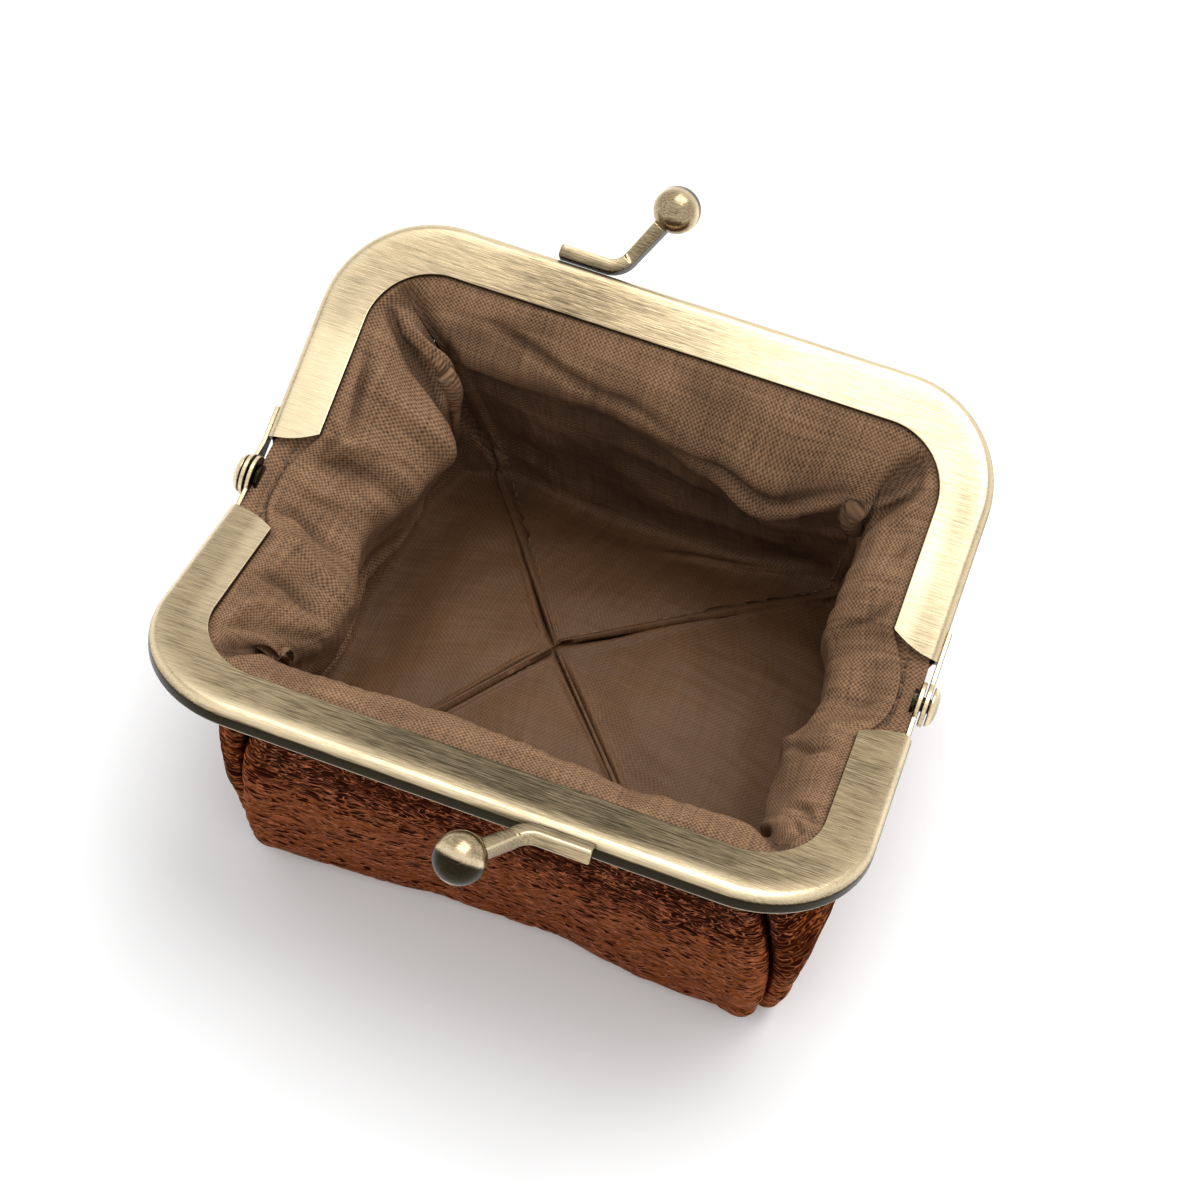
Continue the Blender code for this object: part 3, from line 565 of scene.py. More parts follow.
def attribute(tree, name, socket="Fac"):
    """The values of one attribute of the mesh."""
    return add_node(tree, "ShaderNodeAttribute", attribute_name=name).outputs[socket]


def wandered(tree, place, scale, detail, distance):
    """A coordinate moved about by a broad noise, by up to half the distance each way."""
    wander = add_node(
        tree, "ShaderNodeTexNoise", {"Vector": place, "Scale": scale, "Detail": detail}).outputs["Color"]
    offset = add_node(
        tree, "ShaderNodeVectorMath", {0: wander, 1: (0.5, 0.5, 0.5)}, operation="SUBTRACT").outputs[0]
    offset = add_node(
        tree, "ShaderNodeVectorMath", {0: offset, "Scale": distance}, operation="SCALE").outputs[0]
    return add_node(tree, "ShaderNodeVectorMath", {0: place, 1: offset}, operation="ADD").outputs[0]


def bump(tree, shader, height, strength, distance):
    """Roughens the shader's normal with a height."""
    made = add_node(
        tree, "ShaderNodeBump", {"Strength": strength, "Distance": distance, "Height": height})
    tree.links.new(made.outputs[0], shader.inputs["Normal"])


def noise_value(tree, vector, scale, detail=3.0, roughness=0.5):
    """Noise from 0 to 1 at a coordinate."""
    return add_node(
        tree, "ShaderNodeTexNoise",
        {"Vector": vector, "Scale": scale, "Detail": detail, "Roughness": roughness}).outputs[0]


def brass_material(name, metal, brushed):
    """Antique brass: short brush lines along X over a darker ground, with bright edges of wear and painted
    highlight.

    One attribute goes up to 1 on edges with wear from hands and on painted highlights and bright painted
    reflections, the other up to 1 where the brush never went and on painted shade and dark painted
    reflections. Both, the brush lines and a cloudy tone add up to one lightness.
    """
    made, tree, shader = new_material(name)
    place = object_place(tree)
    across = 1 / metal.brush_pitch
    streaks = noise_value(tree, mapped(tree, place, (across / 20, across, across)), 1.0, 2.0, 0.7)
    scratches = noise_value(tree, mapped(tree, place, (across / 60, across * 2.3, across * 2.3)), 1.0, 1.0)
    cloud = noise_value(tree, mapped(tree, place, (90.0, 160.0, 160.0)), 1.0, 3.0, 0.55)
    worn_and_lit, patina_and_shade = attribute(tree, "worn_and_lit"), attribute(tree, "patina_and_shade")
    lines = ranged(tree, streaks, 0.30, 0.70, 0.0, 0.62, "LINEAR")
    light = maths(tree, "ADD", lines, ranged(tree, scratches, 0.3, 0.7, -0.16, 0.22, "LINEAR"))
    light = maths(tree, "ADD", light, ranged(tree, cloud, 0.3, 0.7, -0.10, 0.10, "LINEAR"))
    plain = mixed(tree, ranged(tree, light, 0.0, 0.6, 0.0, 1.0, "LINEAR"), metal.aged, metal.bright)
    # Wear and painted highlights and reflections, mixed towards the polished colour.
    rubbed_and_lit = maths(tree, "MULTIPLY", worn_and_lit, ranged(tree, light, 0.0, 0.6, 0.75, 1.15, "LINEAR"), clamp=True)
    colour = mixed(tree, rubbed_and_lit, plain, metal.polished)
    # Patina and painted shade and dark reflections, mixed towards the dark colour.
    darkness = maths(tree, "ADD", patina_and_shade, ranged(tree, light, 0.0, 0.6, 0.08, -0.08, "LINEAR"))
    colour = mixed(tree, ranged(tree, darkness, 0.15, 0.85), colour, metal.dark)
    tree.links.new(colour, shader.inputs["Base Color"])
    rough, smooth = (0.42, 0.27) if brushed else (0.34, 0.20)
    tree.links.new(ranged(tree, light, 0.0, 0.6, rough, smooth, "LINEAR"), shader.inputs["Roughness"])
    shader.inputs["Metallic"].default_value = 1.0
    bump(tree, shader, light, 0.6 if brushed else 0.15, 0.02 * MM)
    return made


def leather_material(name, leather):
    """Crackled copper foil on soft leather: bright crests over dark ground, running across the panel.

    The attribute skin gives the place on the flat panel in millimetres, and the other goes from 0 near the
    top to 1 lower down, where more foil shows: the foil is smoother there, and the darker top under the frame
    is painted shade. The crests are the lines where a noise passes through zero. It is stretched along the
    panel and bent by a broader one, and there are two of them. Foil covers what lies near a crest.
    """
    made, tree, shader = new_material(name)
    skin, rubbed_and_lit = attribute(tree, "skin", "Vector"), attribute(tree, "rubbed_and_lit")
    bent = wandered(tree, skin, 0.15, 1.0, 2.8)
    fine = MM / leather.crease_pitch

    def from_crest(scale, shift):
        """How far the noise at this scale is from zero."""
        place = mapped(tree, bent, (scale[0] * fine, scale[1] * fine, 1.0), (shift, 0.0, 0.0))
        value = add_node(
            tree, "ShaderNodeTexNoise", {"Vector": place, "Scale": 1.0, "Detail": 1.0, "Roughness": 0.45},
            normalize=False).outputs[0]
        return maths(tree, "ABSOLUTE", value)

    near = maths(tree, "MINIMUM", from_crest((0.12, 0.66), 0.0), from_crest((0.17, 0.48), 31.0))
    patch = noise_value(tree, mapped(tree, skin, (0.06, 0.10, 1.0)), 1.0, 3.0)
    # More foil lower down, partly smoother foil and partly painted shade that leaves the top darker under the
    # frame.
    more_foil = maths(tree, "MULTIPLY", rubbed_and_lit, 0.20)
    reach = maths(tree, "ADD", ranged(tree, patch, 0.3, 0.7, 0.02, 0.085, "LINEAR"), more_foil)
    level = maths(tree, "SUBTRACT", reach, near)
    shown = ranged(tree, level, -0.03, 0.03)
    tone = noise_value(tree, mapped(tree, bent, (0.5, 1.6, 1.0)), 1.0, 4.0, 0.65)
    pale = tuple(min(1.4 * value, 1.0) for value in leather.foil)
    foil = mixed(tree, ranged(tree, tone, 0.35, 0.68), tuple(0.6 * value for value in leather.foil), pale)
    colour = mixed(tree, shown, leather.crease, foil)
    tree.links.new(colour, shader.inputs["Base Color"])
    roughness = maths(tree, "SUBTRACT", 0.60, maths(tree, "MULTIPLY", shown, 0.34))
    tree.links.new(roughness, shader.inputs["Roughness"])
    shader.inputs["Metallic"].default_value = 1.0
    shader.inputs["Specular Tint"].default_value = (0.75, 0.45, 0.32, 1.0)
    bump(tree, shader, maths(tree, "MAXIMUM", level, -0.12), 0.9, 0.60 * MM)
    return made


def cloth_material(name, lining):
    """Brown plain-woven cloth: threads over and under each other, a little uneven in colour.

    The attribute weave gives the place on the flat cloth in millimetres, flat goes up to 1 towards the floor,
    where the weave is pressed flat and smoother and the colour is darkened as painted shade deep in the
    pouch, and crest goes from -1 in the creases, which get painted shade, to 1 on the folds. The height of
    the weave is the product of a sine along each direction, so that raised and sunken places alternate like
    the fields of a chessboard.
    """
    made, tree, shader = new_material(name)
    weave = attribute(tree, "weave", "Vector")
    flat, crest = attribute(tree, "flat"), attribute(tree, "crest")
    bent = wandered(tree, weave, 0.30, 2.0, 0.9)
    split = add_node(tree, "ShaderNodeSeparateXYZ", {0: bent})
    turns = math.pi * MM / lining.pitch
    waves = [maths(tree, "SINE", maths(tree, "MULTIPLY", split.outputs[axis], turns)) for axis in (0, 1)]
    height = ranged(tree, maths(tree, "MULTIPLY", *waves), -0.7, 0.7, 0.30, 0.85)
    warp = noise_value(tree, mapped(tree, bent, (2.4, 0.09, 1.0)), 1.0, 2.0)
    weft = noise_value(tree, mapped(tree, bent, (0.09, 2.4, 1.0)), 1.0, 2.0)
    uneven = ranged(tree, maths(tree, "ADD", warp, weft), 0.7, 1.3, -0.22, 0.22, "LINEAR")
    share = maths(tree, "ADD", height, uneven)
    contrast = maths(tree, "SUBTRACT", 1.0, maths(tree, "MULTIPLY", flat, 0.6))
    from_middle = maths(tree, "MULTIPLY", maths(tree, "SUBTRACT", share, 0.58), contrast)
    share = maths(tree, "ADD", 0.58, from_middle, clamp=True)
    blotch = noise_value(tree, weave, 0.07, 3.0)
    colour = mixed(tree, share, lining.deep, lining.light)
    colour = mixed(tree, ranged(tree, blotch, 0.3, 0.7, 0.0, 0.14), colour, lining.deep)
    # Painted shade: darker towards the floor, deep in the pouch.
    colour = mixed(tree, maths(tree, "MULTIPLY", flat, 0.75), colour, (0.60, 0.49, 0.36), "MULTIPLY")
    # Painted shade in the creases, and painted shadow in the hollow below the rear roll.
    colour = mixed(tree, ranged(tree, crest, -1.0, 0.1, 0.62, 0.0, "LINEAR"), colour, lining.deep)
    tree.links.new(colour, shader.inputs["Base Color"])
    tree.links.new(ranged(tree, flat, 0.0, 1.0, 0.85, 0.55, "LINEAR"), shader.inputs["Roughness"])
    shader.inputs["Specular IOR Level"].default_value = 0.2
    bump(tree, shader, share, 0.7, 0.08 * MM)
    return made


def thread_material(name, dark, light):
    """Waxed sewing thread, with its twist as fine slanted lines."""
    made, tree, shader = new_material(name)
    place = object_place(tree)
    twist = noise_value(tree, mapped(tree, place, (2600.0, 2600.0, 5200.0)), 1.0, 1.0)
    tree.links.new(mixed(tree, twist, dark, light), shader.inputs["Base Color"])
    shader.inputs["Roughness"].default_value = 0.6
    bump(tree, shader, twist, 0.6, 0.05 * MM)
    return made


def paper_material(name):
    """Twisted craft paper: pale brown with fine fibres."""
    made, tree, shader = new_material(name)
    place = object_place(tree)
    fibres = noise_value(tree, mapped(tree, place, (900.0, 2500.0, 2500.0)), 1.0, 4.0, 0.7)
    tree.links.new(mixed(tree, fibres, (0.42, 0.32, 0.20), (0.72, 0.60, 0.42)), shader.inputs["Base Color"])
    shader.inputs["Roughness"].default_value = 0.9
    return made


def floor_material(name, colour):
    """A matt floor with a barely uneven tone."""
    made, tree, shader = new_material(name)
    place = object_place(tree)
    tone = noise_value(tree, place, 6.0, 2.0)
    paler = tuple(min(1.0, 1.01 * value) for value in colour)
    tree.links.new(mixed(tree, tone, tuple(colour), paler), shader.inputs["Base Color"])
    shader.inputs["Roughness"].default_value = 1.0
    shader.inputs["Specular IOR Level"].default_value = 0.0
    return made


# Metal.


# Wear and painted light of the visible face, from the drawn left end of a half at turn -0.88 to its right end
# at 0.88: how bright it is along its outer edge, in its middle and along its inner edge, as wear and as
# painted highlights and reflections, and how dark its middle is, as patina and as painted dark reflection.
WEAR_AND_LIGHT_TABLE = {
    "front": (
        (-0.88, 0.10, 0.12, 0.45, 0.0),
        (-0.66, 0.08, 0.04, 0.34, 0.0),
        (-0.50, 0.25, 0.02, 0.06, 0.05),
        (-0.38, 0.80, 0.00, 0.00, 0.24),
        (-0.27, 0.70, 0.00, 0.00, 0.42),
        (-0.16, 0.28, 0.00, 0.00, 0.56),
        (0.00, 0.24, 0.00, 0.00, 0.58),
        (0.14, 0.20, 0.00, 0.00, 0.58),
        (0.28, 0.52, 0.00, 0.00, 0.58),
        (0.38, 0.50, 0.00, 0.00, 0.52),
        (0.50, 0.20, 0.00, 0.00, 0.30),
        (0.62, 0.12, 0.00, 0.00, 0.20),
        (0.88, 0.06, 0.00, 0.00, 0.28),
    ),
    "rear": (
        (-0.88, 0.40, 0.30, 0.60, 0.0),
        (-0.74, 0.48, 0.48, 0.90, 0.0),
        (-0.64, 0.60, 0.30, 0.66, 0.0),
        (-0.50, 0.66, 0.46, 0.48, 0.0),
        (-0.27, 0.66, 0.56, 0.54, 0.0),
        (-0.16, 0.58, 0.48, 0.48, 0.0),
        (-0.08, 0.44, 0.28, 0.26, 0.0),
        (0.02, 0.34, 0.24, 0.12, 0.0),
        (0.10, 0.06, 0.00, 0.00, 0.34),
        (0.18, 0.00, 0.00, 0.00, 0.38),
        (0.27, 0.18, 0.04, 0.00, 0.24),
        (0.36, 0.36, 0.20, 0.14, 0.0),
        (0.50, 0.46, 0.18, 0.20, 0.0),
        (0.62, 0.50, 0.30, 0.46, 0.0),
        (0.70, 0.80, 0.76, 0.84, 0.0),
        (0.88, 0.86, 0.80, 0.86, 0.0),
    ),
}


def channel_rings(metal, place):
    """(rings, worn, patina) of the channel of one half, drawn as the front one, from right to left.

    The section is a U: along the visible wall to the outside, round it, along the lower wall, and back on
    the inside. Each of its points lies at a share of the wall's width plus a fixed depth, and at a rise.
    Each station of the rim carries the whole section. The table of wear and painted light says how bright and
    how dark the visible wall is, along the rim and across it, as wear and painted highlight, and as patina
    and painted dark reflection. The rounded edges carry a painted highlight line of their own, and the outer
    face between them is dark, partly patina and partly painted dark reflection.
    """
    turns = np.concatenate(
        [
            np.linspace(SIDE_TURN, CORNER_TURN, 9)[:-1],
            np.linspace(CORNER_TURN, TOP_TURN, metal.corner_steps + 1)[:-1],
            np.linspace(TOP_TURN, 0.0, 7),
        ]
    )
    hands = np.concatenate([np.ones(len(turns)), -np.ones(len(turns) - 1)])
    turns = np.concatenate([turns, turns[-2::-1]])
    outer, inner = rim_pair(turns)
    outer, inner = (points * np.stack([hands, np.ones_like(hands)], axis=-1) for points in (outer, inner))
    width = np.linalg.norm(inner - outer, axis=-1)

    bevel = LIP_BEVEL
    arc = np.linspace(0.0, math.pi / 2, 9)
    face = np.array((1.0, 0.97, 0.9, 0.75, 0.6, 0.45, 0.3, 0.15))
    # The last two columns of each row are its bright marks, wear and painted highlight, and its dark marks,
    # patina and painted shade. The inner lip gets a painted dark line against the cloth and a painted
    # highlight on its bevel.
    rows = [  # (share of the width, fixed depth, rise, worn, patina)
        (1.0, 0.0, CHANNEL_TOP - bevel, 0.0, 0.7),
        (1.0, -bevel * 0.3, CHANNEL_TOP - bevel * 0.3, 0.1, 0.3),
        (1.0, -bevel, CHANNEL_TOP, 0.2, 0.0),
    ]
    rows += [(share, TOP_ROUND * (1 - share), CHANNEL_TOP, 0.0, 0.0) for share in face[1:]]
    # Round the outer edge: a band of painted highlight, then the dark outer face, partly patina and partly
    # painted dark reflection.
    rows += [
        (0.0, TOP_ROUND * (1 - math.sin(a)), CHANNEL_TOP - TOP_ROUND * (1 - math.cos(a)),
         0.75 * math.exp(-(((a - 0.72) / 0.33) ** 2)), 0.95 * float(smoothly(1.05, 1.45, a)))
        for a in arc
    ]
    # Round the lower edge: a thin line of painted highlight between dark faces.
    rows += [
        (0.0, LOW_ROUND * (1 - math.cos(a)), CHANNEL_BOTTOM + LOW_ROUND * (1 - math.sin(a)),
         0.8 * math.sin(2 * a) ** 2, 0.97 - 0.95 * math.sin(2 * a) ** 2)
        for a in arc
    ]
    rows += [(share, LOW_ROUND * (1 - share), CHANNEL_BOTTOM, 0.0, 0.8) for share in face[:0:-1]]
    rows += [
        (1.0, -bevel, CHANNEL_BOTTOM, 0.2, 0.5),
        (1.0, 0.0, CHANNEL_BOTTOM + bevel, 0.2, 0.6),
        (1.0, 0.0, CHANNEL_BOTTOM + CHANNEL_WALL, 0.0, 1.0),
    ]
    low_inside, top_inside = LOW_ROUND - CHANNEL_WALL, TOP_ROUND - CHANNEL_WALL
    rows += [
        (0.0, LOW_ROUND - low_inside * math.cos(a),
         CHANNEL_BOTTOM + LOW_ROUND - low_inside * math.sin(a), 0.0, 1.0)
        for a in arc[::-2]
    ]
    rows += [
        (0.0, TOP_ROUND - top_inside * math.sin(a),
         CHANNEL_TOP - TOP_ROUND + top_inside * math.cos(a), 0.0, 1.0)
        for a in arc[::-2]
    ]
    rows.append((1.0, 0.0, CHANNEL_TOP - CHANNEL_WALL, 0.0, 1.0))
    section = np.array(rows)
    depth = section[None, :, 0] * width[:, None] + section[None, :, 1]
    flat = outer[:, None] + (inner - outer)[:, None] * (depth / width[:, None])[..., None]
    reach = flat[..., 1]
    cut = END_OUTER_REACH + (END_INNER_REACH - END_OUTER_REACH) * (depth / SIDE_FACE) ** 2
    ends = np.zeros(len(turns), bool)
    ends[[0, -1]] = True
    reach = np.where(ends[:, None], cut, reach)
    rings = half_place(flat[..., 0], reach, np.broadcast_to(section[None, :, 2], depth.shape))
    table = np.array(WEAR_AND_LIGHT_TABLE[place]).T
    edge_wear_and_highlight, middle_wear_and_highlight, inner_wear_and_highlight, left_patina_and_shade = (
        np.interp(turns * hands, table[0], values)[:, None] for values in table[1:])
    across = depth / width[:, None]
    outside, inside = 1 - smoothly(0.16, 0.40, across), smoothly(0.55, 0.80, across)
    rubbed_and_lit = edge_wear_and_highlight * outside + inner_wear_and_highlight * inside + middle_wear_and_highlight * (1 - outside - inside)
    shown_wall = (section[:, 2] > CHANNEL_TOP - 0.1 * MM)[None]
    worn_and_lit = np.clip(section[None, :, 3] + rubbed_and_lit * shown_wall, 0.0, 1.0)
    patina_and_shade = np.clip(section[None, :, 4] + left_patina_and_shade * (1 - outside) * shown_wall, 0.0, 1.0)
    return rings, worn_and_lit, patina_and_shade


def outline_prism(name, outline, levels):
    """A plate whose outline lies across X, at each level (x, inset) drawn in along its own normals.

    Its faces are dark, partly patina and partly painted shade, and its rim is bright, partly wear and partly
    painted highlight.
    """
    along = np.roll(outline, -1, axis=0) - np.roll(outline, 1, axis=0)
    inwards = unit(np.stack([-along[:, 1], along[:, 0]], axis=-1))
    centre = outline.mean(axis=0)
    inwards *= np.sign(((centre - outline) * inwards).sum(axis=-1).mean())
    rings = np.stack([
        half_place(np.full(len(outline), x), *(outline + inwards * inset).T[::-1]) for x, inset in levels])
    steps = len(outline)
    worn_and_lit, patina_and_shade = np.repeat((0.0, 0.7, 0.7, 0.0), steps), np.repeat((1.0, 0.1, 0.1, 1.0), steps)
    return tube_mesh(name, rings, {"worn_and_lit": worn_and_lit, "patina_and_shade": patina_and_shade})


def ear_outline():
    """The ear seen along X, as (rise, reach): a round end about the hinge axis and a strip up the side."""
    low, high = -3.4 * MM, -1.2 * MM
    turn = math.pi + np.linspace(0.0, math.radians(270.0), 40)
    arc = np.stack([np.cos(turn), np.sin(turn)], axis=-1) * EAR_RADIUS
    strip = np.array(((high, 5.6 * MM), (high, 11.5 * MM), (low, 11.5 * MM), (low, EAR_RADIUS)))
    return np.concatenate([arc, strip])


def lathe_mesh(name, profile, worn_and_lit, patina_and_shade, steps=64):
    """A profile of (x, radius) turned about X."""
    turn = np.linspace(0.0, math.tau, steps, endpoint=False)
    profile = np.array(profile)
    rings = np.stack(
        [
            np.broadcast_to(profile[:, :1], (len(profile), steps)),
            profile[:, 1:] * np.cos(turn),
            profile[:, 1:] * np.sin(turn),
        ],
        axis=-1,
    )
    values = {"worn_and_lit": np.repeat(worn_and_lit, steps), "patina_and_shade": np.repeat(patina_and_shade, steps)}
    return tube_mesh(name, rings, values)


class PURSE_OT_frame(Operator):
    """Make both halves of the frame: a brushed channel with an ear at each end"""

    bl_idname = "purse.add_frame"
    bl_label = "Frame halves"

    def execute(self, context):
        metal = context.scene.purse_metal
        brass = brass_material("brushed_brass", metal, True)
        for place, (near, far) in EARS.items():
            rings, worn_and_lit, patina_and_shade = channel_rings(metal, place)
            meshes = [tube_mesh("channel", rings, {"worn_and_lit": worn_and_lit.ravel(), "patina_and_shade": patina_and_shade.ravel()})]
            levels = ((near, EAR_BEVEL), (near + EAR_BEVEL, 0.0), (far - EAR_BEVEL, 0.0), (far, EAR_BEVEL))
            for hand in (1.0, -1.0):
                meshes.append(outline_prism("ear", ear_outline(), [(hand * x, inset) for x, inset in levels]))
            mesh = joined(f"{place}_brass_frame", meshes)
            if place == "rear":
                mesh.transform(HALF_TURN)
            half = finish_object(mesh, f"{place}_brass_frame", brass)
            mesh.set_sharp_from_angle(angle=math.radians(42.0))
            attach(half, f"{place}_half")
            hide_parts(f"{place}_frame")
        paper = paper_material("craft_paper")
        for place in EARS:
            cord = frame["nodes"][f"{place}_paper_cord"]
            for slot in cord.material_slots:
                slot.material = paper
        return {"FINISHED"}


def arm_rings(shift):
    """Rings of the clasp's arm on the front half: along the frame, round the bend and up to the ball.

    Each ring is a rounded rectangle, thickness by depth, across the line's heading: a circle whose
    coordinates are raised to a small power. Shift moves the whole arm along the hinge axis.
    """
    seat = np.array((BAR_RISE, FRAME_REACH + 0.2 * MM + BAR_HALF_THICKNESS))
    ball_reach = seat[1] + BEND_RADIUS * (1 - math.cos(BEND_ANGLE)) + BEND_TO_BALL * math.sin(BEND_ANGLE)
    ball = np.array((BALL_X + shift, BALL_RISE, ball_reach))
    bend_x = ball[0] + BEND_TO_BALL * math.cos(BEND_ANGLE) + BEND_RADIUS * math.sin(BEND_ANGLE)
    turn = np.linspace(0.0, BEND_ANGLE, 15)
    bend_reach = seat[1] + BEND_RADIUS * (1 - np.cos(turn))
    bend = np.stack([bend_x - BEND_RADIUS * np.sin(turn), np.full_like(turn, seat[0]), bend_reach], axis=-1)
    straight_x = BAR_END_X + shift - np.array((0.0, 0.06, 0.16, 0.3, 0.8, 1.6, 3.0)) * MM
    straight = np.stack(
        [straight_x, np.full_like(straight_x, seat[0]), np.full_like(straight_x, seat[1])], axis=-1)
    start = bend[-1]
    heading = unit(ball - start)
    reach = np.linalg.norm(ball - start)
    shank = start + heading * np.linspace(0.0, reach - SHANK_IN_BALL, 10)[1:, None]
    line = np.concatenate([straight, bend, shank])
    along = unit(np.gradient(line, axis=0))
    across = unit(np.cross(along, (0.0, 1.0, 0.0)))
    up = np.cross(across, along)
    count = len(line)
    inset = np.zeros(count)
    inset[:3] = np.array((0.22, 0.10, 0.02)) * MM
    share = np.linspace(0.0, 1.0, 9)
    thickness, depth = np.full(count, BAR_HALF_THICKNESS), np.full(count, BAR_HALF_DEPTH)
    thickness[-9:] += 0.15 * MM * share
    depth[-9:] -= 0.15 * MM * share
    turn = np.linspace(0.0, math.tau, 40, endpoint=False)
    round_x = np.sign(np.cos(turn)) * np.abs(np.cos(turn)) ** 0.28
    round_y = np.sign(np.sin(turn)) * np.abs(np.sin(turn)) ** 0.28
    rings = (
        line[:, None]
        + across[:, None] * (round_x[None, :, None] * (thickness - inset)[:, None, None])
        + up[:, None] * (round_y[None, :, None] * (depth - inset)[:, None, None])
    )
    return rings, round_x, round_y, ball


def ball_mesh(name, centre, radius, steps=64):
    """A sphere about a centre, of rings about the vertical, with painted shade below and a band of painted
    highlight above, both painted reflections.

    Both go by the height along a line that leans away from the clasp's side of the frame.
    """
    tilt = np.linspace(0.0, math.pi, steps // 2 + 1)[:, None]
    turn = np.linspace(0.0, math.tau, steps, endpoint=False)[None]
    away = np.stack(
        [np.sin(tilt) * np.cos(turn), np.sin(tilt) * np.sin(turn), np.cos(tilt) + 0 * turn], axis=-1)
    height = away @ (0.10, 0.84, 0.53)
    # Painted reflections: a bright band, a faint bright ring near the bottom, a dark underside and a slightly
    # darker top.
    worn_and_lit = 0.62 * np.exp(-(((height - 0.22) / 0.16) ** 2)) + 0.25 * np.exp(-(((height + 0.93) / 0.10) ** 2))
    patina_and_shade = 0.85 * (1 - smoothly(-0.02, 0.18, height)) * smoothly(-1.0, -0.8, height)
    patina_and_shade = patina_and_shade + 0.22 * smoothly(0.35, 0.6, height)
    return tube_mesh(name, centre + radius * away, {"worn_and_lit": worn_and_lit.ravel(), "patina_and_shade": patina_and_shade.ravel()})


class PURSE_OT_clasp(Operator):
    """Make the clasp: on each half a bent bar and the ball at its end"""

    bl_idname = "purse.add_clasp"
    bl_label = "Clasp"

    def execute(self, context):
        metal = context.scene.purse_metal
        brass = brass_material("clasp_brass", metal, False)
        for place, shift in (("front", -CLASP_SHIFT), ("rear", CLASP_SHIFT)):
            rings, out_x, out_y, ball = arm_rings(shift)
            x, rise, reach = np.moveaxis(rings, -1, 0)
            # Painted highlight on the arm's edges, and one side darker than the other as patina and painted
            # shade.
            edges = np.minimum(np.abs(out_x), np.abs(out_y)) ** 8
            patina_and_shade = np.broadcast_to(0.52 + 0.30 * out_x - 0.22 * out_y, x.shape)
            worn_and_lit = np.broadcast_to(np.minimum(1.8 * edges, 0.9), x.shape)
            arm = tube_mesh(
                f"{place}_brass_arm", half_place(x, reach, rise),
                {"worn_and_lit": worn_and_lit.ravel(), "patina_and_shade": patina_and_shade.ravel()})
            centre = half_place(ball[0], ball[2], ball[1])
            sphere = ball_mesh(f"{place}_brass_ball", centre, metal.ball_radius)
            for mesh, part in ((arm, "arm"), (sphere, "ball")):
                if place == "rear":
                    mesh.transform(HALF_TURN)
                piece = finish_object(mesh, mesh.name, brass)
                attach(piece, f"{place}_half")
                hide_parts(f"{place}_clasp_{part}")
        return {"FINISHED"}


class PURSE_OT_rivets(Operator):
    """Make the two hinge rivets with their domed heads"""

    bl_idname = "purse.add_rivets"
    bl_label = "Hinge rivets"

    def execute(self, context):
        metal = context.scene.purse_metal
        brass = brass_material("rivet_brass", metal, False)
        tail, head = RIVET_TAIL, RIVET_HEAD
        tail_radius, shank_radius, head_radius = RIVET_TAIL_RADIUS, RIVET_SHANK_RADIUS, RIVET_HEAD_RADIUS
        rim = 0.12 * MM
        profile = [
            (tail - 0.5 * MM, 0.0), (tail - 0.5 * MM, tail_radius - 0.15 * MM),
            (tail - 0.42 * MM, tail_radius), (tail, tail_radius), (tail, shank_radius),
            (head, shank_radius), (head, head_radius - 0.05 * MM), (head + rim, head_radius)]
        dome = np.linspace(0.0, math.pi / 2, 12)[1:-1]
        profile += [
            (head + rim + (RIVET_HEAD_HEIGHT - rim) * math.sin(a), head_radius * math.cos(a) ** 0.8)
            for a in dome]
        profile = np.array([*profile, (head + RIVET_HEAD_HEIGHT, 0.0)])
        up_dome = np.clip((profile[:, 0] - head) / RIVET_HEAD_HEIGHT, 0.0, 1.0)
        # A ring of painted highlight on the dome, partly wear, and the rest dark, partly patina and partly
        # painted shade.
        worn_and_lit = 0.8 * np.exp(-(((up_dome - 0.35) / 0.3) ** 2))
        patina_and_shade = np.where(up_dome > 0, 0.25 * (1 - up_dome), 0.8)
        for place, sign in (("left", -1.0), ("right", 1.0)):
            mesh = lathe_mesh(f"{place}_brass_rivet", profile, worn_and_lit, patina_and_shade)
            mesh.transform(Matrix.LocRotScale((0.0, 0.0, HINGE_HEIGHT), None, (sign, sign, 1.0)))
            piece = finish_object(mesh, mesh.name, brass)
            mesh.set_sharp_from_angle(angle=math.radians(40.0))
            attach(piece, "rear_half")
            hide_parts(f"{place}_rivet")
        return {"FINISHED"}


# Where the soft body is parted. The walls hang between the base and the channel. A cut from the base's edge
# to the channel's end parts each panel into a wall and a fold. The two pairs of points below go from the
# base's edge to the line of the channel for the wall, and from the line between base and hinge to the
# channel's end for the fold.
BASE_POINT = np.array((0.0, -40.5 * MM, 6.0 * MM))
HINGE_POINT = np.array((0.0, 0.0, HINGE_HEIGHT))
GRIP_POINT = half_place(0.0, END_INNER_REACH, CHANNEL_BOTTOM)
ARM_NORMAL = np.array((0.0, STAND, LEAN))


def foot_on_line(point, start, end):
    """The nearest place to a point on the line through two others."""
    along = unit(end - start)
    return start + along * ((point - start) @ along)


WALL_BLEND = (BASE_POINT, BASE_POINT + ARM_NORMAL * ((GRIP_POINT - BASE_POINT) @ ARM_NORMAL))
FOLD_BLEND = (foot_on_line(GRIP_POINT, HINGE_POINT, BASE_POINT), GRIP_POINT)
CUT_NORMAL = np.cross(unit(GRIP_POINT - BASE_POINT), (1.0, 0.0, 0.0))


def flipped(point, side):
    """A point for the front half, or the one across from it for the rear."""
    return tuple(np.array(point) * (1.0, 1.0 if side == "front" else -1.0, 1.0))


